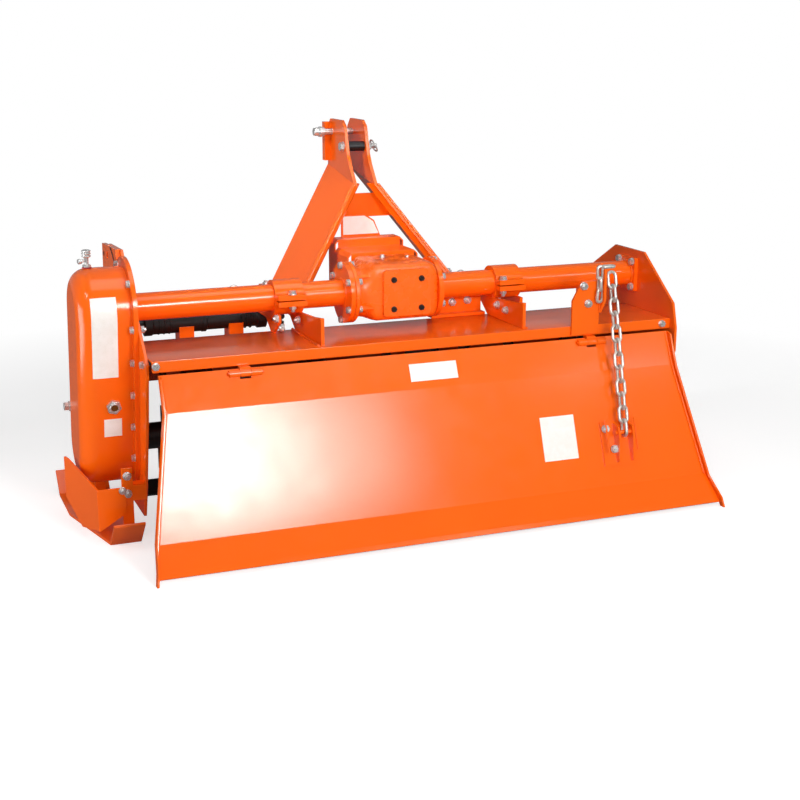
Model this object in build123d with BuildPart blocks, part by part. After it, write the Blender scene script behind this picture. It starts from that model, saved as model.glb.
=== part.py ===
from build123d import *
import math
import os

os.makedirs("parts", exist_ok=True)

# Rotary tiller for a tractor's three-point linkage, driven by its power take-off.
# Millimetres, +Z up, floor at Z = 0, +Y towards the tractor, +X to the right seen from behind.
# Sketch planes below count x from the machine's centre plane, y from the main tube's axis
# and z from the floor.

# ---- driving dimensions ----
inner_half = 780        # centre plane to the inner face of each side plate
plate_t = 8             # side plate thickness
sheet_t = 5             # hood and tail board sheet
gap = 0.3               # running gap at pins and shafts

tube_z = 624            # height of the main tube's axis
tube_r = 38
tube_wall = 6
tube_flange = 104       # square end flange
tube_flange_t = 12
flange_round = 6
box_flange_r = 88       # round flanges at the gearbox
box_flange_t = 14

rotor_y = 70            # rotor axis, ahead of the main tube
rotor_z = 235
rotor_tube_r = 38
rotor_shaft_r = 25
rotor_end_gap = 10      # rotor tube's end to the side plate
bearing_ring = 7        # bore in the plates round the shaft, beyond its radius
shaft_in_hub = 42
tine_reach = 225        # rotor axis to the tine's foot
tine_w = 60
tine_t = 8
tine_foot = 90
tine_bend = 16
tine_fillet = 20
tine_seat = 35          # tine's root inside the disc's rim
tine_stagger = 25.7     # degrees from one disc to the next
disc_r = 95
disc_t = 8
disc_count = 7
disc_pitch = 220
tines_per_disc = 6
hub_r = 72              # bearing hub on the right side plate
hub_flange_t = 12
hub_cap_r = 48
hub_long = 52
hub_deep = 44

hood_top = 524          # top face of the hood
hood_rear = -247
hood_ridge = 15
hood_lip = 30           # folded rear lip
hood_front = ((320, 400), (338, 330))
plate_outlines = {
    # side: rear edge of the side plate from the bottom up, then over the top to the front edge
    "left": ((-84, 50), (-116, 134), (-177, 349), (-212, 509), (75, 772),
             (250, 765), (335, 640), (345, 300), (230, 50)),
    "right": ((-84, 50), (-150, 160), (-275, 430), (-275, 500), (-256, 571), (-81, 699),
              (90, 699), (335, 560), (345, 300), (230, 50)),
}

hinge_y = -264          # tail board hinge
hinge_z = 478
knuckle_r = 10
hinge_pin_r = 5
knuckle_len = 30
knuckle_gap = 1
hinge_in = (188, 218)   # board's edge to the near end of the left and right hinges
hinge_pin_end = 3
board_slot = 5          # open seam between the lip and the board's top edge
board_top_in = 8        # board's top edge ahead of the hinge line
board_fold_up = (-299, 396)
board_fold_low = (-413, 83)
board_lip = (-470, 24)
board_lip_end = (-478, 14)
board_in = 12           # board's top corner inside the side plate
board_flare = 62        # board's foot corner outside it
rib_t = 6
rib_proud = 18
rib_in = 6              # rib's depth ahead of the panel's rear face
rib_lip_rise = (6, 3)
rib_top = ((-14, 6), (8, 11))   # rib's top corners from the hinge line

case_wide = 142         # side gear case, from its back plate to the outer face
case_r = 115
case_round = 50
case_bore = 60          # rotor shaft's depth into the case
tab_outline = ((60, 700), (84, 772), (292, 762), (300, 640), (120, 560))
tab_hole = (215, 738)
tab_hole_r = 11
breather_in = 93        # case's back plate side to the breather
breather_r = 11
breather_land = 3
breather_high = 24
spot_deep = 1           # flat cut for the breather on the case's round top
plug_in = 62            # hexagon level plug on the rear wall
plug_down = 242         # below the main tube's axis, along the case
plug_r = 17
plug_proud = 14
back_t = 12             # its back plate
back_lap = 25           # the back plate's flange beyond the case

guard_t = 6
guard_out = (58, 130, 180)      # side plate's outer face to the guard's near edge, corner and far edge
guard_rear = -140
guard_front = 88
guard_top_rear = 160
guard_top_front = 196
guard_foot = 43         # lowest at the corner, rising both ways
guard_foot_near = 86
guard_foot_front = 74
guard_cut = -24         # chamfered front corner starts here
guard_cut_z = 20

skid_t = 8
skid_w = 85
skid_gap = 22           # skid's inner edge to the side plate's outer face
skid_rear = -146
skid_front = 330
skid_flare = 66         # left skid's outer edge opens out under the gear case
skid_flare_y = 140
skid_upturn = 75
skid_nose = 60
bar_w = 30
bar_t = 8
bar_in = 30             # skid's inner edge to the bar's middle
bar_top = 212
lug_low = 118           # block that ties each bar to the side plate
lug_high = 44
lug_w = 42
lug_rear = -100
lug_front = 240
bar_front_in = 20       # front bar behind the skid's front bend

pin_spread = 341        # lower hitch: centre plane to the ball's centre
clevis_half = 31        # half the clevis gap
hitch_t = 10
low_pin_y = 400
low_pin_z = 558
low_pin_r = 11
pin_boss_r = 28
arm_low = 556
low_pin_out = 24        # pin beyond the clevis
low_pin_head_r = 17
low_pin_head_t = 8
rear_plate = ((-225, 600), (-150, 590), (-45, 582), (45, 582))
front_plate = ((-60, 560), (-60, 582), (45, 582))
arm_rise_y = 110
arm_drop_y = 300        # arm's lower edge drops to the pin from here
arm_root_y = 60
seat_front = 14
seat_rear = -10
clamp_w = 84
strap_t = 12
lug_len = 34
lug_t = 14
lug_z = 9
lug_lap = 4

box_left = -112         # gearbox housing
box_right = 100
box_rear = -80
box_front = 112
box_low = 545
box_high = 712
box_round = 16
box_end_round = 14
cover_w = 146
cover_h = 134
cover_t = 10
cover_x = -2
cover_z = 628
cover_round = 12
neck_long = 45          # neck and flange towards the left tube
neck_r = 72
nose_r = 48             # bearing nose round the input shaft
nose_long = 26
input_r = 17.45         # 1 3/8 inch PTO shaft
input_tip = 262
journal_r = 22          # shaft's bearing end, in the gearbox's front bore
journal_deep = 30
collar_t = 5
input_chamfer = 3
shield_half = 112
shield_low = 600
shield_rear_rise = 0.2026   # shares of the mast's height above the main tube
shield_front_rise = 0.2543
shield_step = 229       # its top steps up here
shield_front = 286
shield_bevel = 12
shield_seat = 676       # fixing flange on the gearbox, down to here
shield_t = 4
shield_plate = ((-72, 0.239), (-72, 0.3987), (6, 0.3987), (36, 0.3556), (59, 0.239))  # label plate: x, share

head_gap = 56           # top hitch: gap between the mast's head plates
head_t = 10
head_front = 500
head_top = 1088
head_round = 26
bend_rear = (250, 0.599)    # bend between head and leg: y, and share of the mast's height
bend_front = 0.694
bend_lap = 6
head_rear_edge = ((302, 0.72), (319, 0.782), (344, 0.961))
doubler_rear = 476
doubler_t = 18
doubler_rise = (0.72, 0.978)
top_pin_y = 455
top_pin_down = 39
top_pin_r = 9.5
top_pin_out = 18
top_pin_head_r = 14
top_pin_head_t = 14
leg_t = 10
leg_sink = 3            # leg's foot edges below the foot plate's top
leg_foot = ((256, 120), (286.3, 346))
leg_strip = 8
strip_in = 27
strip_ahead = 31
foot_low = 590          # foot plate on the hitch bracket
foot_in = 224
foot_out = 316
foot_rear = 112
foot_front = 360
cross_y = 300
cross_t = 8
cross_rise = (0.379, 0.534)
spacer_r = 15
spacer_y = 352
spacer_down = 78

drive_r = 30            # stored driveline's guard
drive_y = 250
drive_z = 520
drive_in = (80, 450)    # side plate's inner face to the ends of the guard
yoke_len = 62
yoke_r = 20
cradle_in = (180, 330)
cradle_w = 44
cradle_half = 30
cradle_lip = 8
cradle_slit = 16.2

brace_low_t = 8
brace_x = (117, 293)
brace_y = (14, 54)
brace_top = 590

chain_top = (214, -258, 684)    # inner face of the side plate to the chain, then y and z
chain_low = (212, -386, 232)    # board's top corner to the chain, then y and z
wire_r = 4.5
link_pitch = 39
link_play = 1           # lowest link to its pin
link_half = 12.5        # link centre line to the wire's centre, across
bracket_in = (248, 336) # upper chain bracket: inner face of the side plate to its edges
bracket_low = 500
bracket_top = 655
bracket_shoulder = (30, 600)
bracket_t = 8
wing_deep = 26          # wing behind the bracket's plate
wing_top = 692
wing_low = 560
wing_foot = 600
cheek_gap = 40
cheek_t = 6
cheek_tall = (84, -30)
cheek_nose = (12, -14, 16)
cheek_slope = 20
base_size = (104, 128)
base_shift = (-14, -28)
base_t = 6
cross_pin_r = 6
cross_pin_out = 6

# ---- places worked out from them ----
outer_half = inner_half + plate_t
case_out = outer_half + back_t + case_wide
breather_x = -outer_half - back_t - breather_in
plug_x = -outer_half - back_t - plug_in
guard_near, guard_corner, guard_far = (-outer_half - out for out in guard_out)
guard_plan = ((guard_near, guard_rear), (guard_corner, guard_rear), (guard_far, guard_front))
guard_reach = -guard_far + guard_t
board_half_top = inner_half - board_in
board_half_foot = inner_half + board_flare
board_half = max(board_half_top, board_half_foot)
hinge_starts = {"left": -board_half_top + hinge_in[0],
                "right": board_half_top - hinge_in[1] - 3 * knuckle_len}
rib_foot_rear = board_lip_end[0] - rib_proud
skid_reach = outer_half + skid_gap + skid_w
mid_x = (guard_reach - skid_reach) / 2
tube_y = -(head_front + rib_foot_rear) / 2
rotor_half = inner_half - rotor_end_gap
slope = (hood_top - hood_front[0][1]) / (hood_front[0][0] - hood_ridge)


def mast_z(share):
    """Height at a share of the mast's rise above the main tube."""
    return tube_z + share * (head_top - tube_z)


def across(x):
    """Plane facing +X: sketch in (y, z), extrude to the right."""
    return Plane(origin=(mid_x + x, tube_y, 0), x_dir=(0, 1, 0), z_dir=(1, 0, 0))


def facing_rear(y):
    """Plane facing -Y: sketch in (x, z), extrude to the rear."""
    return Plane(origin=(mid_x, tube_y + y, 0), x_dir=(1, 0, 0), z_dir=(0, -1, 0))


def level(z):
    """Plane facing +Z: sketch in (x, y), extrude upwards."""
    return Plane(origin=(mid_x, tube_y, z), x_dir=(1, 0, 0), z_dir=(0, 0, 1))


def band(points, thickness):
    """Closed outline of a folded sheet, whose thickness is on the right of its path."""
    normals = []
    for (ax, ay), (bx, by) in zip(points, points[1:]):
        length = math.hypot(bx - ax, by - ay)
        normals.append(((by - ay) / length, -(bx - ax) / length))
    inner = []
    for i, (px, py) in enumerate(points):
        before = normals[max(i - 1, 0)]
        after = normals[min(i, len(normals) - 1)]
        miter = 1 + before[0] * after[0] + before[1] * after[1]
        inner.append((
            px + thickness * (before[0] + after[0]) / miter,
            py + thickness * (before[1] + after[1]) / miter,
        ))
    return list(points) + inner[::-1]


# ---- side plates ----
plate_starts = {"left": -outer_half, "right": inner_half}
for side, outline in plate_outlines.items():
    with BuildPart() as side_plate:
        with BuildSketch(across(plate_starts[side])):
            with BuildLine():
                Polyline(*outline, close=True)
            make_face()
            with Locations((rotor_y, rotor_z)):
                Circle(rotor_shaft_r + bearing_ring, mode=Mode.SUBTRACT)
        extrude(amount=plate_t)
    side_plate.part.label = f"side_plate_{side}"
    export_step(side_plate.part, f"parts/side_plate_{side}.step")

# ---- hood ----
hood_path = ((hood_rear, hood_top - hood_lip), (hood_rear, hood_top), (hood_ridge, hood_top)) + hood_front
with BuildPart() as hood:
    with BuildSketch(across(-inner_half)):
        with BuildLine():
            Polyline(*band(hood_path, sheet_t), close=True)
        make_face()
    extrude(amount=2 * inner_half)
hood.part.label = "hood"
export_step(hood.part, "parts/hood.step")

# ---- main tube: two halves bolted to the gearbox ----
tube_spans = {
    # side: outer end, gearbox end
    "left": (-inner_half, box_left - neck_long),
    "right": (inner_half, box_right),
}
for side, (outer, inner) in tube_spans.items():
    step_in = box_flange_t if side == "right" else -box_flange_t
    start = min(outer, inner)
    with BuildPart() as main_tube:
        with BuildSketch(across(start)):
            with Locations((0, tube_z)):
                Circle(tube_r)
        extrude(amount=abs(outer - inner))
        with BuildSketch(across(min(inner, inner + step_in))):
            with Locations((0, tube_z)):
                Circle(box_flange_r)
        extrude(amount=box_flange_t)
        if side == "right":
            with BuildSketch(across(inner_half - tube_flange_t)):
                with Locations((0, tube_z)):
                    RectangleRounded(tube_flange, tube_flange, flange_round)
            extrude(amount=tube_flange_t)
        with BuildSketch(across(start)):
            with Locations((0, tube_z)):
                Circle(tube_r - tube_wall)
        extrude(amount=abs(outer - inner), mode=Mode.SUBTRACT)
    main_tube.part.label = f"main_tube_{side}"
    export_step(main_tube.part, f"parts/main_tube_{side}.step")

# ---- gearbox on the main tube ----
nose_front = box_front + nose_long
with BuildPart() as gearbox:
    with BuildSketch(across(box_left)):
        with Locations(((box_rear + box_front) / 2, (box_low + box_high) / 2)):
            RectangleRounded(box_front - box_rear, box_high - box_low, box_round)
    extrude(amount=box_right - box_left)
    fillet(gearbox.faces().sort_by(Axis.X)[-1].edges(), box_end_round)
    fillet(gearbox.faces().sort_by(Axis.X)[0].edges(), box_end_round)
    for radius, length in ((box_flange_r, box_flange_t), (neck_r, neck_long)):
        with BuildSketch(across(box_left - neck_long)):
            with Locations((0, tube_z)):
                Circle(radius)
        extrude(amount=length)
    with BuildSketch(facing_rear(nose_front)):
        with Locations((0, tube_z)):
            Circle(nose_r)
    extrude(amount=nose_long)
    with BuildSketch(facing_rear(nose_front)):
        with Locations((0, tube_z)):
            Circle(journal_r + gap)
    extrude(amount=journal_deep + gap, mode=Mode.SUBTRACT)
gearbox.part.label = "gearbox"
export_step(gearbox.part, "parts/gearbox.step")

with BuildPart() as gearbox_cover:
    with BuildSketch(facing_rear(box_rear)):
        with Locations((cover_x, cover_z)):
            RectangleRounded(cover_w, cover_h, cover_round)
    extrude(amount=cover_t)
gearbox_cover.part.label = "gearbox_cover"
export_step(gearbox_cover.part, "parts/gearbox_cover.step")

with BuildPart() as input_shaft:
    for tip, radius in ((input_tip, input_r), (nose_front + collar_t, journal_r)):
        with BuildSketch(facing_rear(tip)):
            with Locations((0, tube_z)):
                Circle(radius)
        extrude(amount=tip - nose_front + journal_deep)
    chamfer(input_shaft.faces().sort_by(Axis.Y)[-1].edges(), input_chamfer)
input_shaft.part.label = "input_shaft"
export_step(input_shaft.part, "parts/input_shaft.step")

shield_rear_top = mast_z(shield_rear_rise)
shield_front_top = mast_z(shield_front_rise)
with BuildPart() as pto_shield:
    for start, end, top in ((box_front, shield_step + shield_t, shield_rear_top),
                            (shield_step, shield_front, shield_front_top)):
        shield_path = ((-shield_half, shield_low), (-shield_half, top - shield_bevel),
                       (shield_bevel - shield_half, top), (shield_half - shield_bevel, top),
                       (shield_half, top - shield_bevel), (shield_half, shield_low))
        with BuildSketch(facing_rear(end)):
            with BuildLine():
                Polyline(*band(shield_path, shield_t), close=True)
            make_face()
        extrude(amount=end - start)
    with BuildSketch(facing_rear(shield_step + shield_t)):
        with Locations((0, (shield_rear_top + shield_front_top) / 2 - shield_t)):
            Rectangle(2 * (shield_half - shield_bevel), shield_front_top - shield_rear_top)
    extrude(amount=shield_t)
    with BuildSketch(facing_rear(box_front + shield_t)):
        with Locations((0, (shield_rear_top - shield_t + shield_seat) / 2)):
            Rectangle(2 * (shield_half - shield_bevel), shield_rear_top - shield_t - shield_seat)
    extrude(amount=shield_t)
    with BuildSketch(facing_rear(shield_front)):
        with BuildLine():
            Polyline(*[(x, mast_z(share)) for x, share in shield_plate], close=True)
        make_face()
    extrude(amount=shield_t)
pto_shield.part.label = "pto_shield"
export_step(pto_shield.part, "parts/pto_shield.step")

# ---- side gear case, from the main tube's axis down to the rotor's ----
with BuildPart() as gear_case:
    with BuildSketch(across(-case_out)):
        with Locations((0, tube_z), (rotor_y, rotor_z)):
            Circle(case_r)
        make_hull()
    extrude(amount=case_wide)
    fillet(gear_case.faces().sort_by(Axis.X)[0].edges(), case_round)
    with BuildSketch(level(tube_z + case_r - spot_deep)):
        with Locations((breather_x, 0)):
            Circle(breather_r + breather_land)
    extrude(amount=2 * spot_deep, mode=Mode.SUBTRACT)
    with BuildSketch(across(-outer_half - back_t - case_bore)):
        with Locations((rotor_y, rotor_z)):
            Circle(rotor_shaft_r + gap)
    extrude(amount=case_bore, mode=Mode.SUBTRACT)
gear_case.part.label = "gear_case"
export_step(gear_case.part, "parts/gear_case.step")

with BuildPart() as gear_case_back:
    with BuildSketch(across(-outer_half - back_t)):
        with Locations((0, tube_z), (rotor_y, rotor_z)):
            Circle(case_r + back_lap)
        make_hull()
        with BuildLine():
            Polyline(*tab_outline, close=True)
        make_face()
        with Locations((rotor_y, rotor_z)):
            Circle(rotor_shaft_r + bearing_ring, mode=Mode.SUBTRACT)
        with Locations(tab_hole):
            Circle(tab_hole_r, mode=Mode.SUBTRACT)
    extrude(amount=back_t)
gear_case_back.part.label = "gear_case_back"
export_step(gear_case_back.part, "parts/gear_case_back.step")

case_axis = Vector(0, rotor_y, rotor_z - tube_z).normalized()
case_rear = Vector(0, case_axis.Z, -case_axis.Y)
plug_mid = Vector(mid_x + plug_x, tube_y, tube_z) + case_axis * plug_down + case_rear * case_r
with BuildPart() as level_plug:
    with BuildSketch(Plane(origin=plug_mid, x_dir=(1, 0, 0), z_dir=case_rear)):
        RegularPolygon(plug_r, 6)
    extrude(amount=plug_proud)
level_plug.part.label = "level_plug"
export_step(level_plug.part, "parts/level_plug.step")

with BuildPart() as breather:
    with BuildSketch(level(tube_z + case_r - spot_deep)):
        with Locations((breather_x, 0)):
            Circle(breather_r)
    extrude(amount=breather_high)
breather.part.label = "breather"
export_step(breather.part, "parts/breather.step")

# ---- guard plate round the foot of the gear case ----
with BuildPart() as case_guard:
    with BuildSketch(level(0)):
        with BuildLine():
            Polyline(*band(guard_plan, -guard_t), close=True)
        make_face()
    extrude(amount=guard_top_front)
    with BuildSketch(across(guard_far - 2 * guard_t)):
        with BuildLine():
            Polyline((guard_rear - guard_t, guard_top_rear), (guard_rear, guard_top_rear),
                     (guard_front + guard_t, guard_top_front + guard_t),
                     (guard_rear - guard_t, guard_top_front + guard_t), close=True)
        make_face()
        with BuildLine():
            Polyline((guard_rear - guard_t, guard_foot), (guard_rear, guard_foot), (guard_cut, guard_cut_z),
                     (guard_front + guard_t, guard_foot_front + guard_t), (guard_front + guard_t, -guard_t),
                     (guard_rear - guard_t, -guard_t), close=True)
        make_face()
    extrude(amount=-guard_far, mode=Mode.SUBTRACT)
    with BuildSketch(facing_rear(guard_rear + guard_t)):
        with BuildLine():
            Polyline((guard_corner, guard_foot), (guard_near, guard_foot_near), (guard_near, 0),
                     (guard_corner, 0), close=True)
        make_face()
    extrude(amount=2 * guard_t, mode=Mode.SUBTRACT)
case_guard.part.label = "case_guard"
export_step(case_guard.part, "parts/case_guard.step")

# ---- skid shoes, bars and lugs that carry them ----
skid_run = ((skid_front + skid_nose, skid_nose), (skid_front, 0), (skid_rear, 0),
            (skid_rear - skid_upturn, skid_upturn))
for side, sign in (("left", -1), ("right", 1)):
    near = sign * (outer_half + skid_gap)
    far = sign * (outer_half + skid_gap + skid_w)
    flare = sign * skid_flare if side == "left" else 0
    with BuildPart() as skid:
        with BuildSketch(across(-guard_reach)):
            with BuildLine():
                Polyline(*band(skid_run, skid_t), close=True)
            make_face()
        extrude(amount=2 * guard_reach)
        with BuildSketch(level(0)):
            with BuildLine():
                Polyline((near, skid_rear - 2 * skid_upturn), (far, skid_rear - 2 * skid_upturn),
                         (far, skid_rear), (far + flare, skid_flare_y),
                         (far + flare, skid_front + 2 * skid_nose), (near, skid_front + 2 * skid_nose),
                         close=True)
            make_face()
        extrude(amount=2 * skid_upturn, mode=Mode.INTERSECT)
    skid.part.label = f"skid_{side}"
    export_step(skid.part, f"parts/skid_{side}.step")
    for end, y, lug_end in (("rear", guard_rear, lug_rear), ("front", skid_front - bar_front_in, lug_front)):
        with BuildPart() as skid_bar:
            with BuildSketch(facing_rear(y + bar_t)):
                with Locations((near + sign * bar_in, (skid_t + bar_top) / 2)):
                    Rectangle(bar_w, bar_top - skid_t)
            extrude(amount=bar_t)
            with BuildSketch(level(lug_low)):
                with Locations((sign * (outer_half + lug_w / 2), (y + lug_end) / 2)):
                    Rectangle(lug_w, abs(lug_end - y))
            extrude(amount=lug_high)
        skid_bar.part.label = f"skid_bar_{side}_{end}"
        export_step(skid_bar.part, f"parts/skid_bar_{side}_{end}.step")

# ---- bearing hub at the rotor's right end ----
with BuildPart() as rotor_hub:
    for radius, length in ((hub_r, hub_flange_t), (hub_cap_r, hub_long)):
        with BuildSketch(across(outer_half)):
            with Locations((rotor_y, rotor_z)):
                Circle(radius)
        extrude(amount=length)
    with BuildSketch(across(outer_half)):
        with Locations((rotor_y, rotor_z)):
            Circle(rotor_shaft_r + gap)
    extrude(amount=hub_deep, mode=Mode.SUBTRACT)
rotor_hub.part.label = "rotor_hub"
export_step(rotor_hub.part, "parts/rotor_hub.step")

# ---- lower hitch brackets, clamps and pins ----
arm = (
    (arm_rise_y, foot_low), (foot_front, foot_low), (low_pin_y, low_pin_z + pin_boss_r),
    (low_pin_y, low_pin_z - pin_boss_r), (foot_front, low_pin_z - pin_boss_r), (arm_drop_y, arm_low),
    (arm_root_y, arm_low), (seat_front, hood_top),
)
for side, sign in (("left", -1), ("right", 1)):
    inner_x = sign * (pin_spread - clevis_half) - (hitch_t if sign > 0 else 0)
    outer_x = sign * (pin_spread + clevis_half) - (0 if sign > 0 else hitch_t)
    with BuildPart() as hitch:
        for x, seat in ((inner_x, ((rear_plate[0][0], hood_top),) + rear_plate),
                        (outer_x, ((seat_rear, hood_top),) + front_plate)):
            with BuildSketch(across(x)):
                with BuildLine():
                    Polyline(*seat, *arm, close=True)
                make_face()
                with Locations((low_pin_y, low_pin_z)):
                    Circle(pin_boss_r)
                    Circle(low_pin_r + gap, mode=Mode.SUBTRACT)
                with Locations((0, tube_z)):
                    Circle(tube_r + strap_t, mode=Mode.SUBTRACT)
            extrude(amount=hitch_t)
        with BuildSketch(across(sign * pin_spread - clamp_w / 2)):
            with Locations((0, tube_z)):
                Circle(tube_r + strap_t)
                Circle(tube_r, mode=Mode.SUBTRACT)
            with Locations((0, tube_z + tube_r + strap_t)):
                Rectangle(4 * tube_r, 2 * (tube_r + strap_t), mode=Mode.SUBTRACT)
            for lug_side in (-1, 1):
                with Locations((lug_side * (tube_r + lug_lap + lug_len / 2), tube_z - lug_z)):
                    Rectangle(lug_len, lug_t)
        extrude(amount=clamp_w)
    hitch.part.label = f"hitch_{side}"
    export_step(hitch.part, f"parts/hitch_{side}.step")
    with BuildPart() as clamp:
        with BuildSketch(across(sign * pin_spread - clamp_w / 2)):
            with Locations((0, tube_z)):
                Circle(tube_r + strap_t)
                Circle(tube_r, mode=Mode.SUBTRACT)
            with Locations((0, tube_z - tube_r - strap_t)):
                Rectangle(4 * tube_r, 2 * (tube_r + strap_t), mode=Mode.SUBTRACT)
            for lug_side in (-1, 1):
                with Locations((lug_side * (tube_r + lug_lap + lug_len / 2), tube_z + lug_z)):
                    Rectangle(lug_len, lug_t)
        extrude(amount=clamp_w)
    clamp.part.label = f"clamp_{side}"
    export_step(clamp.part, f"parts/clamp_{side}.step")
    with BuildPart() as lower_pin:
        with BuildSketch(across(sign * pin_spread - clevis_half - low_pin_out)):
            with Locations((low_pin_y, low_pin_z)):
                Circle(low_pin_r)
        extrude(amount=2 * (clevis_half + low_pin_out))
        head_x = sign * (pin_spread + clevis_half + low_pin_out)
        with BuildSketch(across(head_x - (0 if sign > 0 else low_pin_head_t))):
            with Locations((low_pin_y, low_pin_z)):
                Circle(low_pin_head_r)
        extrude(amount=low_pin_head_t)
    lower_pin.part.label = f"lower_pin_{side}"
    export_step(lower_pin.part, f"parts/lower_pin_{side}.step")

# ---- mast: two bent plate legs, cross plate, spacer and top pin ----
foot_z = foot_low + leg_sink
head_outer = head_gap / 2 + head_t
# corners of a leg's outer face, as x (to the outside), y, z
leg_corners = (
    (head_outer, bend_rear[0], mast_z(bend_rear[1])),
    (leg_foot[0][0], leg_foot[0][1], foot_z),
    (leg_foot[1][0], leg_foot[1][1], foot_z),
    (head_outer, head_front, mast_z(bend_front)),
)
head_outline = [(bend_rear[0], mast_z(bend_rear[1]) - bend_lap)]
head_outline += [(y, mast_z(share)) for y, share in head_rear_edge]
head_outline += [(head_rear_edge[-1][0] + head_round, head_top), (head_front - head_round, head_top),
                 (head_front, head_top - head_round), (head_front, mast_z(bend_front) - bend_lap)]
inward = Vector(-strip_in, strip_ahead, 0)
pin_hole = (top_pin_y, head_top - top_pin_down)


def mast_point(corner, sign):
    x, y, z = corner
    return Vector(mid_x + sign * x, tube_y + y, z)


legs = []
for side, sign in (("left", -1), ("right", 1)):
    corners = [mast_point(corner, sign) for corner in leg_corners]
    step_in = Vector(sign * inward.X, inward.Y, 0)
    strip = [corners[0], corners[1], corners[1] + step_in, corners[0] + step_in]
    with BuildPart() as mast_leg:
        for loop, thickness, towards in ((corners, leg_t, Vector(-sign, 0, 0)), (strip, leg_strip, Vector(0, 1, 0))):
            normal = (loop[1] - loop[0]).cross(loop[3] - loop[0]).normalized()
            if normal.dot(towards) < 0:
                normal = -normal
            frame = Plane(origin=loop[0], x_dir=loop[1] - loop[0], z_dir=normal)
            with BuildSketch(frame):
                with BuildLine():
                    Polyline(*[(frame.to_local_coords(p).X, frame.to_local_coords(p).Y) for p in loop], close=True)
                make_face()
            extrude(amount=thickness)
        with BuildSketch(level(foot_low)):
            with Locations((sign * (foot_in + foot_out) / 2, (foot_rear + foot_front) / 2)):
                Rectangle(foot_out - foot_in, foot_front - foot_rear)
        extrude(amount=leg_t)
        with BuildSketch(across(sign * head_gap / 2 - (head_t if sign < 0 else 0))):
            with BuildLine():
                Polyline(*head_outline, close=True)
            make_face()
        extrude(amount=head_t)
        with BuildSketch(across(sign * head_outer - (doubler_t if sign < 0 else 0))):
            with Locations(((doubler_rear + head_front) / 2, mast_z(sum(doubler_rise) / 2))):
                Rectangle(head_front - doubler_rear, mast_z(doubler_rise[1]) - mast_z(doubler_rise[0]))
        extrude(amount=doubler_t)
        with BuildSketch(across(sign * head_gap - head_gap)):
            with Locations(pin_hole):
                Circle(top_pin_r + gap)
        extrude(amount=2 * head_gap, mode=Mode.SUBTRACT)
    legs.append(mast_leg.part)
    mast_leg.part.label = f"mast_leg_{side}"
    export_step(mast_leg.part, f"parts/mast_leg_{side}.step")

# cross plate fills the space between the legs
with BuildPart() as cross_blank:
    with BuildSketch(facing_rear(cross_y)):
        with Locations((0, mast_z(sum(cross_rise) / 2))):
            Rectangle(2 * foot_out, mast_z(cross_rise[1]) - mast_z(cross_rise[0]))
    extrude(amount=cross_t)
    for leg in legs:
        add(leg, mode=Mode.SUBTRACT)
cross_pieces = cross_blank.part.solids().sort_by(Axis.X)
mast_cross = Part(cross_pieces[len(cross_pieces) // 2].wrapped)
mast_cross.label = "mast_cross"
export_step(mast_cross, "parts/mast_cross.step")

with BuildPart() as mast_spacer:
    with BuildSketch(across(-head_gap / 2)):
        with Locations((spacer_y, head_top - spacer_down)):
            Circle(spacer_r)
    extrude(amount=head_gap)
mast_spacer.part.label = "mast_spacer"
export_step(mast_spacer.part, "parts/mast_spacer.step")

pin_start = -head_outer - head_t - top_pin_out
with BuildPart() as top_pin:
    with BuildSketch(across(pin_start)):
        with Locations(pin_hole):
            Circle(top_pin_r)
    extrude(amount=-2 * pin_start)
    with BuildSketch(across(pin_start - top_pin_head_t)):
        with Locations(pin_hole):
            Circle(top_pin_head_r)
    extrude(amount=top_pin_head_t)
top_pin.part.label = "top_pin"
export_step(top_pin.part, "parts/top_pin.step")

# ---- driveline stowed on two cradles over the hood's front slope ----
drive_start, drive_end = (side_in - inner_half for side_in in drive_in)
with BuildPart() as driveline:
    with BuildSketch(across(drive_start)):
        with Locations((drive_y, drive_z)):
            Circle(drive_r)
    extrude(amount=drive_end - drive_start)
driveline.part.label = "driveline"
export_step(driveline.part, "parts/driveline.step")

for side, start in (("left", drive_start - yoke_len), ("right", drive_end)):
    with BuildPart() as driveline_yoke:
        with BuildSketch(across(start)):
            with Locations((drive_y, drive_z)):
                Circle(yoke_r)
        extrude(amount=yoke_len)
    driveline_yoke.part.label = f"driveline_yoke_{side}"
    export_step(driveline_yoke.part, f"parts/driveline_yoke_{side}.step")

cradle_seat = [(y, hood_top - slope * (y - hood_ridge)) for y in (drive_y - cradle_half, drive_y + cradle_half)]
with BuildPart() as driveline_cradles:
    for side_in in cradle_in:
        with BuildSketch(across(side_in - inner_half)):
            with BuildLine():
                Polyline(cradle_seat[0], (cradle_seat[0][0], drive_z - cradle_lip),
                         (cradle_seat[1][0], drive_z - cradle_lip), cradle_seat[1], close=True)
            make_face()
            with Locations((drive_y, drive_z)):
                Circle(drive_r, mode=Mode.SUBTRACT)
                Rectangle(2 * drive_r + yoke_r, cradle_slit, mode=Mode.SUBTRACT)
        extrude(amount=cradle_w)
driveline_cradles.part.label = "driveline_cradles"
export_step(driveline_cradles.part, "parts/driveline_cradles.step")

# ---- brace under the main tube, right of the gearbox ----
with BuildPart() as brace:
    with BuildSketch(across(brace_x[0])):
        with BuildLine():
            Polyline((brace_y[0], hood_top), (brace_y[1], hood_top), (brace_y[1], brace_top),
                     (brace_y[1] - brace_low_t, brace_top), (brace_y[1] - brace_low_t, hood_top + brace_low_t),
                     (brace_y[0], hood_top + brace_low_t), close=True)
        make_face()
    extrude(amount=brace_x[1] - brace_x[0])
brace.part.label = "brace"
export_step(brace.part, "parts/brace.step")

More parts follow.
